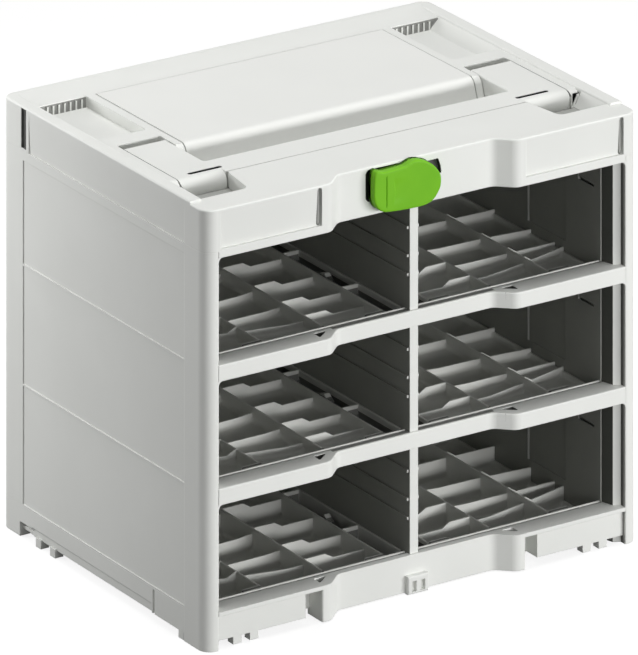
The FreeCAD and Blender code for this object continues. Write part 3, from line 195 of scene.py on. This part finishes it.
def mouldedPlastic(name, look, paintedLightAndShade=None):     # satin plastic: fine grain, faint flow marks, edges painted paler as a highlight
    grain = plasticGrain
    finish = Finish(bpy.data.materials.new(name))
    rounded, edge = finish.edges(look["edge"])
    flow = finish.noise(look["flowScale"], grain["flowDetail"])
    speck = finish.noise(look["grainScale"], grain["speckDetail"], grain["speckRough"])
    base = finish.blend(finish.step(flow, grain["flowLow"], grain["flowHigh"]), look["dark"], look["light"])
    # painted light and shade, laid over the plastic's own colour where a finish asks for it
    if paintedLightAndShade:
        base = paintedLightAndShade(finish, base)
    # painted highlight: the sharp edges are coloured paler, as if catching the light
    paintedEdgeHighlight = finish.blend(edge * look["edgeShare"], base, look["edgeColour"])
    specks = finish.step(speck, grain["speckLow"], grain["speckHigh"]) * look["speckShare"]
    colour = finish.blend(specks, paintedEdgeHighlight, look["dark"])
    rough = (look["rough"] + (flow - 0.5) * grain["flowSwing"] + (speck - 0.5) * grain["speckSwing"]
             - edge * grain["edgePolish"])
    bump = finish.node("ShaderNodeBump", inputs={
        "Strength": look["bump"], "Distance": grain["grainDepth"], "Height": speck, "Normal": rounded})
    return finish.surface(colour, rough, bump, **{"Specular IOR Level": look["shine"]})


shellLook = {
    "light": (0.815, 0.825, 0.795), "dark": (0.79, 0.80, 0.77), "edgeColour": (0.85, 0.855, 0.83),
    "edgeShare": 0.4, "edge": 0.0007, "flowScale": 14, "grainScale": 1900, "speckShare": 0.10,
    "rough": 0.50, "bump": 0.16, "shine": 0.35,
}


def within(finish, low, high, pitch=None):          # 1 between two corners; X counts from the middle
    place = finish.place()
    mask = 1
    for name, start, end in zip("XYZ", low, high):
        value = finish.axis(place, name)
        if name == "X":
            value = abs(value)
        elif name == "Z" and pitch:                 # heights that repeat from bay to bay
            value = (value + pitch).sum("MODULO", pitch)
        mask = (value > start) * (value < end) * mask
    return mask


def paintShadeInBox(finish, base, hollow, pitch=None):       # painted shade: one dark colour inside a box of low and high corners
    return finish.blend(within(finish, hollow["low"], hollow["high"], pitch), base, hollow["dark"])


bayPitch = 0.093
# painted shade on the posts' sides that face into the openings, fading in from the front
postShade = {
    "dark": (0.055, 0.057, 0.050), "low": (0.1760, -0.2, 0), "high": (0.1864, -0.120, 1),
    "pale": -0.1490, "full": -0.1435, "facing": 0.80,
}
# painted shade in two kinds of hollow on the bars, repeated from bay to bay
barShadeBoxes = (
    {"dark": (0.10, 0.103, 0.095), "low": (0.0785, -0.1420, 0.0225), "high": (0.0920, -0.1320, 0.0282)},
    {"dark": (0.22, 0.223, 0.21), "low": (0, -0.1332, 0.0270), "high": (0.0740, -0.1285, 0.0300)},
)


def paintShadeOnPostSides(finish, base):                    # painted shade: the posts are coloured dark where they look into the openings, and the bars' hollows too
    place = finish.place()
    inward = (finish.facing("X") * finish.axis(place, "X").sum("SIGN")) < -postShade["facing"]
    depth = finish.step(finish.axis(place, "Y"), postShade["pale"], postShade["full"])
    beside = within(finish, postShade["low"], postShade["high"])
    base = finish.blend(inward * beside * depth, base, postShade["dark"])
    for hollow in barShadeBoxes:
        base = paintShadeInBox(finish, base, hollow, bayPitch)
    return base


# painted shade: dark colours inside the lid's side slots, the room behind the latch, the gaps beside the
# arms, the notch floors and the pockets' rear walls
lidShadeBoxes = {
    "sideSlots": {
        "low": (0.1900, 0.1103, 0.3006), "high": (0.1974, 0.1187, 0.3322), "dark": (0.045, 0.046, 0.042)},
    "latchRoom": {
        "low": (0.0, -0.1348, 0.3040), "high": (0.0500, -0.1250, 0.3302), "dark": (0.06, 0.061, 0.056)},
    "armGaps": {
        "low": (0.1784, -0.0900, 0.3278), "high": (0.1797, -0.0010, 0.3312), "dark": (0.12, 0.122, 0.114)},
    "notchFloors": {
        "low": (0.1360, -0.1213, 0.3100), "high": (0.1870, -0.0845, 0.3204), "dark": (0.38, 0.385, 0.365)},
    "pocketRears": {
        "low": (0.1420, 0.1123, 0.3230), "high": (0.1860, 0.1150, 0.3312), "dark": (0.24, 0.243, 0.23)},
}
labelSlots = {                          # painted shade in the grooves at both ends of each label field, deeper than the field
    "ends": (-0.0976, 0.1802), "spare": 0.0002, "wide": 0.0018, "fade": 0.0018,
    "front": -0.1480, "reach": 0.006, "top": 0.3305, "tall": 0.0289, "sunk": 0.0022, "least": 0.0001,
    "deeper": 0.0004, "dark": (0.12, 0.122, 0.114),
}


# painted shade in the lid's hollows and in the label grooves
def paintShadeInLidHollows(finish, base):
    for hollow in lidShadeBoxes.values():
        base = paintShadeInBox(finish, base, hollow)
    place = finish.place()
    x = finish.axis(place, "X")
    y = finish.axis(place, "Y")
    front = labelSlots["front"]
    lean = labelSlots["sunk"] / labelSlots["tall"]
    field = front + (labelSlots["top"] - finish.axis(place, "Z")) * lean
    inside = (y - field) > labelSlots["deeper"]
    inside = inside * (y < front + labelSlots["reach"]) * (field > front + labelSlots["least"])
    for edge in labelSlots["ends"]:
        fade = finish.step(x, edge + labelSlots["wide"], edge + labelSlots["wide"] + labelSlots["fade"])
        narrow = (x > edge - labelSlots["spare"]) * (1 - fade)
        base = finish.blend(inside * narrow, base, labelSlots["dark"])
    return base


# painted shade: a near-black colour inside the slots in the handle's arms
handleSlotShade = {
    "low": (0.1340, -0.0745, 0.3200), "high": (0.1670, -0.0691, 0.3314), "dark": (0.02, 0.02, 0.019)}


def paintShadeInHandleSlots(finish, base):
    return paintShadeInBox(finish, base, handleSlotShade)


panelLook = {**shellLook, "flowScale": 9, "grainScale": 2400, "rough": 0.44, "bump": 0.10,
             "light": (0.825, 0.832, 0.803), "dark": (0.805, 0.812, 0.783)}

# the liner sheet's grey: darker than the shell, partly its own colour and partly painted shade for the inside
# of the bays
linerShadeLook = {
    "light": (0.300, 0.305, 0.280), "dark": (0.270, 0.275, 0.252), "edgeColour": (0.40, 0.405, 0.38),
    "edgeShare": 0.6, "edge": 0.0005, "flowScale": 18, "grainScale": 1500, "speckShare": 0.25,
    "rough": 0.62, "bump": 0.22, "shine": 0.25,
}
linerLitFront = {"colour": (0.42, 0.425, 0.40), "facing": 0.7}


def paintedLitFrontEdge(finish, base):                    # painted light: only the narrow front edge of the sheet, facing the front, is coloured pale as if lit
    return finish.blend(finish.facing("Y") < -linerLitFront["facing"], base, linerLitFront["colour"])


# painted light and shade: the divider's faces toward the front take the pale shell colour, its sides keep the
# dark liner grey as shade
dividerLitFront = {"colour": (0.80, 0.81, 0.78), "facing": 0.7}


def paintedLitFrontShadedSides(finish, base):
    return finish.blend(finish.facing("Y") < -dividerLitFront["facing"], base, dividerLitFront["colour"])


trayLook = {
    "light": (0.66, 0.665, 0.635), "dark": (0.61, 0.615, 0.585), "edgeColour": (0.74, 0.745, 0.715),
    "edgeShare": 0.45, "edge": 0.0012, "flowScale": 22, "grainScale": 1700, "speckShare": 0.2,
    "rough": 0.55, "bump": 0.20, "shine": 0.3,
}

# painted shade: dark colour in the gap behind the tray's front lip and in the channel beside the divider,
# repeated from bay to bay
lipGapShade = {"low": (0, -0.1253, 0), "high": (0.2, -0.1226, 1), "dark": (0.13, 0.132, 0.122)}
trayChannelShade = {
    "low": (0.0058, -0.1210, 0.0050), "high": (0.0200, 0.1380, 0.0252), "dark": (0.16, 0.162, 0.15)}


def paintShadeInTrayChannel(finish, base):
    return paintShadeInBox(finish, paintShadeInBox(finish, base, lipGapShade), trayChannelShade, bayPitch)


greenLook = {
    "light": (0.175, 0.480, 0.012), "dark": (0.155, 0.450, 0.010), "edgeColour": (0.22, 0.53, 0.03),
    "edgeShare": 0.2, "edge": 0.0005, "flowScale": 40, "grainScale": 2200, "speckShare": 0.08,
    "rough": 0.50, "bump": 0.08, "shine": 0.2,
}

hubLook = {**linerShadeLook, "rough": 0.5, "light": (0.034, 0.036, 0.034), "dark": (0.022, 0.024, 0.022),
           "edgeColour": (0.12, 0.123, 0.115)}


steelLook = {
    "bright": (0.62, 0.62, 0.60), "dull": (0.44, 0.44, 0.43), "rough": 0.34, "edge": 0.0003,
    "cloudScale": 260, "cloudDetail": 4, "cloudSwing": 0.25, "edgePolish": 0.08,
    "ringScale": 900, "ringWander": 1.5, "bump": 0.12, "ringDepth": 0.0001,
}


def platedSteel(name, look):                        # zinc plate: turning marks, cloudy roughness
    finish = Finish(bpy.data.materials.new(name))
    rounded, edge = finish.edges(look["edge"])
    cloud = finish.noise(look["cloudScale"], look["cloudDetail"])
    rings = finish.node("ShaderNodeTexWave", {"wave_type": "RINGS", "rings_direction": "SPHERICAL"}, {
        "Vector": finish.place(), "Scale": look["ringScale"], "Distortion": look["ringWander"]}, out=1)
    colour = finish.blend(cloud, look["bright"], look["dull"])
    rough = look["rough"] + (cloud - 0.5) * look["cloudSwing"] - edge * look["edgePolish"]
    bump = finish.node("ShaderNodeBump", inputs={
        "Strength": look["bump"], "Distance": look["ringDepth"], "Height": rings, "Normal": rounded})
    return finish.surface(colour, rough, bump, Metallic=1.0)


finishes = {
    "shell_grey": mouldedPlastic("shellGreyPlastic", shellLook),
    "front_frame": mouldedPlastic("frameGreyPlastic", shellLook, paintShadeOnPostSides),
    "lid": mouldedPlastic("lidGreyPlastic", shellLook, paintShadeInLidHollows),
    "carry_handle": mouldedPlastic("handleGreyPlastic", shellLook, paintShadeInHandleSlots),
    "panel_grey": mouldedPlastic("panelGreyPlastic", panelLook),
    "liner_dark": mouldedPlastic("linerDarkShadedPlastic", linerShadeLook, paintedLitFrontEdge),
    "divider_grey": mouldedPlastic("dividerPlastic", linerShadeLook, paintedLitFrontShadedSides),
    "tray_grey": mouldedPlastic("trayGreyPlastic", trayLook, paintShadeInTrayChannel),
    "latch_green": mouldedPlastic("latchGreenPlastic", greenLook),
    "hub_dark": mouldedPlastic("hubDarkPlastic", hubLook),
    "steel": platedSteel("zincPlatedSteel", steelLook),
}
slots = {row["node"]: row["material_slot"] for row in frame["record"]["subparts"]}
for name, node in nodes.items():
    chosen = finishes.get(name, finishes[slots[name]])
    for place in node.material_slots:
        place.material = chosen
print("finishes made:", len(finishes))


# The latch paddle: a flat arm with a creased tip, a shallow thumb scoop and a round hub.
paddleShape = {
    "hub": (0.0, -0.144, 0.315),                    # centre of the hub on the front face
    "back": -0.1354,
    "round": 1.3,                                   # the rest in millimetres from the hub
    "outline": [
        (-43.3, -4), (-42.4, -8), (-40.4, -11.9), (-37.5, -14.6), (-34, -16.4), (-29, -17.2), (-22.5, -17.8),
        (-16, -18.2), (-9, -18.5), (-2.6, -18.6), (4.1, -18.2), (9.1, -16.8), (12.8, -14), (15.7, -10.4),
        (17.6, -6.6), (18.2, -1.9), (17.6, 2.4), (14.9, 6.7), (11.6, 10.4), (7.4, 13.4), (4.1, 15.2),
        (-0.1, 16.8), (-5, 17.6), (-8, 17.4), (-11, 16.4), (-14, 15.1), (-20, 14.6), (-28, 14.2),
        (-34, 14.1), (-37, 14.8), (-39, 15.8), (-41, 15), (-42.3, 12.5), (-43, 8), (-43.3, 2)],
    "crease": {"x": -32.0, "low": -13.5, "high": 10.7, "half": 0.5, "deep": 1.2},
    "scoop": {"x": -24.4, "z": -2.5, "curve": 0.026, "half": 9.0, "long": 15.0, "deep": 0.5, "step": 0.5},
    "curveSteps": 5,
    "rows": 24,
    "columns": {"first": -43.1, "last": 17.9, "fine": 0.22, "near": 0.4, "wide": 1.3,
                "creaseReach": 1.2, "scoopSpan": (-28, -23.4), "ends": (-43.3, 18.2), "endReach": 2.6},
    "rim": 2.0,
    "hollow": 3.0,
    "sharp": 38,                                    # degrees
}


def smoothLoop(points, steps):                      # a closed curve through the points
    curve = []
    count = len(points)
    for i in range(count):
        before, start, end, after = [Vector(points[(i + k) % count]) for k in (-1, 0, 1, 2)]
        slope = end - before
        bend = 2 * before - 5 * start + 4 * end - after
        twist = 3 * start - before - 3 * end + after
        for k in range(steps):
            t = k / steps
            curve.append(0.5 * (2 * start + slope * t + bend * t ** 2 + twist * t ** 3))
    return curve


def paddleColumns(shape):                           # closest at both ends, at the crease and at the scoop
    rule = shape["columns"]
    start, end = rule["ends"]
    scoopLow, scoopHigh = rule["scoopSpan"]
    columns = [rule["first"]]
    while columns[-1] < rule["last"]:
        x = columns[-1]
        if abs(x - shape["crease"]["x"]) < rule["creaseReach"] or scoopLow < x < scoopHigh:
            gap = rule["fine"]
        elif min(x - start, end - x) < rule["endReach"]:
            gap = rule["near"]
        else:
            gap = rule["wide"]
        columns.append(min(x + gap, rule["last"]))
    return columns


def edgeGap(here, start, end):                      # how far a spot is from one short piece of the outline
    foot, share = geometry.intersect_point_line(here, start, end)
    return (here - foot).length if 0 <= share <= 1 else (here - start).length


def paddleDepth(shape, loop, x, z):                 # how far the front lies behind its plane
    here = Vector((x, z))
    gap = min(edgeGap(here, a, b) for a, b in zip(loop, loop[1:] + loop[:1]))
    radius = shape["round"]
    depth = radius - math.sqrt(radius ** 2 - max(0.0, radius - gap) ** 2)
    crease = shape["crease"]
    if crease["low"] < z < crease["high"]:
        depth += crease["deep"] * max(0.0, 1 - abs(x - crease["x"]) / crease["half"])
    scoop = shape["scoop"]
    rim = scoop["x"] - scoop["curve"] * (z - scoop["z"]) ** 2
    across = 1 - ((z - scoop["z"]) / scoop["half"]) ** 2
    if across > 0 and rim < x < rim + scoop["long"]:
        across = min(1.0, 2 * across) * min(1.0, (x - rim) / scoop["step"])
        depth += scoop["deep"] * across * (1 - (x - rim) / scoop["long"])
    return depth


def makePaddle(shape):
    loop = smoothLoop(shape["outline"], shape["curveSteps"])
    hub = Vector(shape["hub"])
    mesh = bmesh.new()
    grid = []
    for x in paddleColumns(shape):
        hits = []
        for a, b in zip(loop, loop[1:] + loop[:1]):
            if (a.x - x) * (b.x - x) <= 0 and a.x != b.x:
                hits.append(a.y + (b.y - a.y) * (x - a.x) / (b.x - a.x))
        low, high = min(hits), max(hits)
        column = []
        for j in range(shape["rows"] + 1):
            z = low + (high - low) * (1 - math.cos(math.pi * j / shape["rows"])) / 2
            depth = paddleDepth(shape, loop, x, z)
            column.append(mesh.verts.new(hub + Vector((x, depth, z)) / 1000))
        grid.append(column)
    for left, right in zip(grid, grid[1:]):
        for j in range(shape["rows"]):
            mesh.faces.new((left[j], right[j], right[j + 1], left[j + 1]))
    rim = [column[0] for column in grid] + grid[-1][1:] + [column[-1] for column in reversed(grid[:-1])]
    rim += list(reversed(grid[0][1:-1]))
    behind = [mesh.verts.new((vert.co.x, shape["back"], vert.co.z)) for vert in rim]
    for i in range(len(rim)):
        j = (i + 1) % len(rim)
        mesh.faces.new((rim[j], rim[i], behind[i], behind[j]))
    underside = mesh.faces.new(behind)
    bmesh.ops.inset_region(mesh, faces=[underside], thickness=shape["rim"] / 1000)
    deeper = bmesh.ops.extrude_face_region(mesh, geom=[underside])
    moved = [item for item in deeper["geom"] if isinstance(item, bmesh.types.BMVert)]
    bmesh.ops.translate(mesh, verts=moved, vec=(0, -shape["hollow"] / 1000, 0))
    bmesh.ops.delete(mesh, geom=[underside], context="FACES")
    bmesh.ops.recalc_face_normals(mesh, faces=mesh.faces)
    data = bpy.data.meshes.new("latchPaddle")
    mesh.to_mesh(data)
    mesh.free()
    data.shade_smooth()
    data.set_sharp_from_angle(angle=math.radians(shape["sharp"]))
    paddle = bpy.data.objects.new("latchPaddle", data)
    bpy.context.scene.collection.objects.link(paddle)
    data.materials.append(finishes["latch_green"])
    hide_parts("latch_paddle")
    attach(paddle, "latch")


makePaddle(paddleShape)
print("latch paddle made")


# The rib trays: thin moulded sheets whose ribs run into the floor with round corners.
trayShape = {                           # millimetres; x from the middle, rows from the tray's front
    "inner": 4.1, "outer": 176.2, "front": -127.0, "rear": 141.0,
    "floor": 1.5, "rib": 1.6, "fillet": 3.2, "lipFillet": 0.5, "lean": 0.15, "soft": 0.35,
    "lipRise": 0.8, "secondLip": 4.5, "secondWidth": 1.2, "secondDrop": 1.2,
    "edgeHeight": 5.0,
    "longRibs": (20.8, 76.4, 132.0),
    "rows": ((30, 30, 38, 49), (63, 61, 61, 61), (102, 99, 98, 94), (147, 146, 146, 145),
             (203, 203, 203, 203)),
    "channelRows": (1, 3, 4),           # cross ribs that run on through the channel beside the divider
    "bend": 16.6, "drop": 4.0, "tab": 19.4, "ramp": 7.0, "outerRamp": 8.0, "outerStart": 1.5,
    "plates": (20.8, 132.0), "plateLength": 17.0, "plateInset": 0.01, "plateStep": 0.2,
    "turns": (0.06, 0.22, 0.45, 0.72, 1.0),
    "lastRow": 1, "pastWall": 400,      # a row levels out this far from the outer wall, and ends well past it
    "widest": 9, "closest": 0.02,       # the least and most room between grid lines
    "slack": 0.005, "onEdge": 0.02, "lowest": 0.1, "softShare": 0.6, "outerBend": 2.3,
    "sharp": 40,                        # degrees
}


def rowLine(shape, row, x):                         # where a cross rib's front face is at x
    first, second, third = shape["longRibs"]
    inner, middle, outer, wall = row
    bend = second + shape["bend"]
    turn = inner if outer > inner else middle
    last = shape["outer"] - shape["lastRow"]
    spots = [(0, inner), (second, inner), (bend, turn), (third, outer)]
    spots += [(last, wall), (shape["pastWall"], wall)]
    for (x0, y0), (x1, y1) in zip(spots, spots[1:]):
        if x <= x1:
            return shape["front"] + y0 + (y1 - y0) * (x - x0) / (x1 - x0)


def rowTop(shape, index, x, top, floor):            # how high a cross rib stands at x
    first, second, third = shape["longRibs"]
    low = top - shape["drop"]
    tab = second - shape["tab"]
    if x < first:
        return top if index in shape["channelRows"] else floor
    if x < tab - shape["ramp"]:
        return low
    if x < tab:
        return low + (x - tab + shape["ramp"]) / shape["ramp"] * shape["drop"]
    if x <= second:
        return top
    if x < third:
        return low
    start = shape["outerStart"]
    return max(low, top - shape["drop"] * (x - third - start) / (shape["outerRamp"] - start))


def faceSteps(shape, face, away):                   # grid lines beside a rib's face, closest at its foot
    steps = [shape["lean"] + shape["fillet"] * turn for turn in shape["turns"]] + [shape["lean"]]
    return [face + away * step for step in steps]


def ribSteps(shape, start, width):
    soft = shape["soft"]
    return (faceSteps(shape, start, -1) + [start, start + soft, start + width - soft, start + width]
            + faceSteps(shape, start + width, 1))


def onlyInside(shape, steps, side):                 # drops the grid lines on the far side of an outer wall
    beyond = len(shape["turns"]) + 1
    return steps[beyond:] if side < 0 else steps[:-beyond]


def trayColumns(shape):
    first, second, third = shape["longRibs"]
    rib = shape["rib"]
    tab = second - shape["tab"]
    columns = onlyInside(shape, ribSteps(shape, shape["inner"], rib), -1)
    columns += onlyInside(shape, ribSteps(shape, shape["outer"] - rib, rib), 1)
    for x in shape["longRibs"]:
        columns += ribSteps(shape, x - rib / 2, rib)
    for x in shape["plates"]:
        plateEnd = x + shape["plateLength"]
        columns += [plateEnd - shape["plateInset"], plateEnd + shape["plateStep"]]
    columns += [tab, tab - shape["ramp"], second + shape["bend"]]
    columns += [third + shape["outerBend"], third + shape["outerRamp"]]
    columns = sorted(round(x, 3) for x in columns if shape["inner"] <= x <= shape["outer"])
    spaced = [columns[0]]
    for x in columns[1:]:
        start = spaced[-1]
        if x - start > shape["widest"]:
            count = int((x - start) // shape["widest"]) + 1
            spaced += [start + (x - start) * i / count for i in range(1, count)]
        if x - spaced[-1] > shape["closest"]:
            spaced.append(x)
    return spaced


def trayHeight(shape, x, y, low, top):              # ribs and lips, and the round corners between them
    floor = low + shape["floor"]
    rib = shape["rib"]
    lip = top + shape["lipRise"]
    edge = low + shape["edgeHeight"]
    front = shape["front"]
    secondY = front + shape["secondLip"]
    wallsX = [(shape["inner"], shape["inner"] + rib, top), (shape["outer"] - rib, shape["outer"], edge)]
    wallsX += [(c - rib / 2, c + rib / 2, top) for c in shape["longRibs"]]
    secondEnd = secondY + shape["secondWidth"]
    wallsY = [(front, front + rib, lip), (secondY, secondEnd, top - shape["secondDrop"]),
              (shape["rear"] - rib, shape["rear"], edge)]
    for index, row in enumerate(shape["rows"]):
        line = rowLine(shape, row, x)
        height = rowTop(shape, index, x, top, floor)
        if height > floor + shape["lowest"]:
            wallsY.append((line, line + rib, height))
    slack = shape["slack"]
    inside = [floor]
    gaps = []
    for here, walls in ((x, wallsX), (y, wallsY)):
        for start, end, height in walls:
            if start - slack <= here <= end + slack:
                onEdge = min(here - start, end - here) < shape["onEdge"]
                inside.append(height - (shape["soft"] * shape["softShare"] if onEdge else 0.0))
        gaps.append(min(max(start - here, here - end, 0.0) for start, end, height in walls))
    for x0 in shape["plates"]:
        if x0 <= x <= x0 + shape["plateLength"] and y <= secondEnd + slack:
            inside.append(lip)
    radius = shape["fillet"] if y > secondY + shape["lowest"] else shape["lipFillet"]
    reach = [max(0.0, radius - max(0.0, gap - shape["lean"])) for gap in gaps]
    reached = min(radius, math.hypot(*reach))
    return max(max(inside), floor + radius - math.sqrt(radius ** 2 - reached ** 2))


def makeTray(name, side, shape):
    low, high = [corner * 1000 for corner in (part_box(name)[0][2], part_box(name)[1][2])]
    top = high - shape["lipRise"]
    front = shape["front"]
    width = shape["rib"]
    mesh = bmesh.new()
    grid = []
    middle = front + (shape["secondLip"] + width) / 2
    for x in trayColumns(shape):
        rows = [y for y in onlyInside(shape, ribSteps(shape, front, width), -1) if y < middle]
        rows += [y for y in ribSteps(shape, front + shape["secondLip"], shape["secondWidth"]) if y > middle]
        for row in shape["rows"]:
            rows += ribSteps(shape, rowLine(shape, row, x), width)
        rows += onlyInside(shape, ribSteps(shape, shape["rear"] - width, width), 1)
        rows.sort()
        grid.append([mesh.verts.new((side * x / 1000, y / 1000, trayHeight(shape, x, y, low, top) / 1000))
                     for y in rows])
    for left, right in zip(grid, grid[1:]):
        for j in range(len(left) - 1):
            mesh.faces.new((left[j], right[j], right[j + 1], left[j + 1]))
    rim = [column[0] for column in grid] + grid[-1][1:] + [column[-1] for column in reversed(grid[:-1])]
    rim += list(reversed(grid[0][1:-1]))
    under = [mesh.verts.new((vert.co.x, vert.co.y, low / 1000)) for vert in rim]
    for i in range(len(rim)):
        j = (i + 1) % len(rim)
        mesh.faces.new((rim[j], rim[i], under[i], under[j]))
    mesh.faces.new(under)
    bmesh.ops.recalc_face_normals(mesh, faces=mesh.faces)
    data = bpy.data.meshes.new(name + "Moulding")
    mesh.to_mesh(data)
    mesh.free()
    data.shade_smooth()
    data.set_sharp_from_angle(angle=math.radians(shape["sharp"]))
    tray = bpy.data.objects.new(name + "Moulding", data)
    bpy.context.scene.collection.objects.link(tray)
    data.materials.append(finishes["tray_grey"])
    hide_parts(name)
    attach(tray, "rack")


for level in ("bottom", "middle", "top"):
    makeTray(f"{level}_left_rib_tray", -1, trayShape)
    makeTray(f"{level}_right_rib_tray", 1, trayShape)
print("rib trays made")


# The floor, the room light and four lamps around the rack.
studio = {
    "floorSize": 14.0,
    "floorColour": (0.17, 0.17, 0.17),
    "floorSeen": (0.25, 0.25, 0.25),    # the share of the floor's own light in what the eye sees
    "floorWhite": 0.84,
    "ambient": 0.225,
    "aim": (0, 0, 0.17),
    "lamps": {                          # watts, place, width and height
        "frontLamp": (36, (0.3, -3.0, 0.6), (1.6, 0.4)),
        "rightLamp": (33, (1.7, -2.4, 0.55), (1.2, 0.4)),
        "topLamp": (33, (0.0, 0.0, 2.6), (1.2, 1.2)),
        "rearLamp": (3.5, (-0.64, 0.58, 0.42), (0.3, 0.22)),
    },
}


def whiteSeen(finish):                              # 1 for straight, mirrored and passed-through rays
    camera, glossy, clear = [finish.node("ShaderNodeLightPath", out=f"Is {ray} Ray")
                             for ray in ("Camera", "Glossy", "Transmission")]
    return camera.sum("MAXIMUM", glossy).sum("MAXIMUM", clear)


def makeFloor(values):
    half = values["floorSize"] / 2
    mesh = bpy.data.meshes.new("floor")
    corners = [(-half, -half, 0), (half, -half, 0), (half, half, 0), (-half, half, 0)]
    mesh.from_pydata(corners, [], [(0, 1, 2, 3)])
    floor = bpy.data.objects.new("floor", mesh)
    bpy.context.scene.collection.objects.link(floor)
    finish = Finish(bpy.data.materials.new("paleFloor"))
    plain = finish.node("ShaderNodeBsdfDiffuse", inputs={"Color": (*values["floorColour"], 1)})
    shaded = finish.node("ShaderNodeBsdfDiffuse", inputs={"Color": (*values["floorSeen"], 1)})
    glow = finish.node("ShaderNodeEmission", inputs={"Color": (1, 1, 1, 1), "Strength": values["floorWhite"]})
    white = finish.node("ShaderNodeAddShader", inputs={0: shaded, 1: glow})
    both = finish.node("ShaderNodeMixShader", inputs={0: whiteSeen(finish), 1: plain, 2: white})
    finish.node("ShaderNodeOutputMaterial", inputs={"Surface": both})
    mesh.materials.append(finish.owner)


def makeWorld(values):
    world = bpy.data.worlds.new("studioWorld")
    bpy.context.scene.world = world
    room = Finish(world)
    soft = room.node("ShaderNodeBackground", inputs={"Color": (1, 1, 1, 1), "Strength": values["ambient"]})
    white = room.node("ShaderNodeBackground", inputs={"Color": (1, 1, 1, 1), "Strength": 1.0})
    both = room.node("ShaderNodeMixShader", inputs={0: whiteSeen(room), 1: soft, 2: white})
    room.node("ShaderNodeOutputWorld", inputs={"Surface": both})


def makeLamps(values):
    for name, (power, place, size) in values["lamps"].items():
        data = bpy.data.lights.new(name, "AREA")
        data.shape = "RECTANGLE"
        data.energy = power
        data.size, data.size_y = size
        lamp = bpy.data.objects.new(name, data)
        bpy.context.scene.collection.objects.link(lamp)
        lamp.location = place
        lamp.rotation_euler = (Vector(values["aim"]) - lamp.location).to_track_quat("-Z", "Y").to_euler()


makeFloor(studio)
makeWorld(studio)
makeLamps(studio)
bpy.context.scene.view_settings.view_transform = "Standard"
print("floor, world and lamps made")
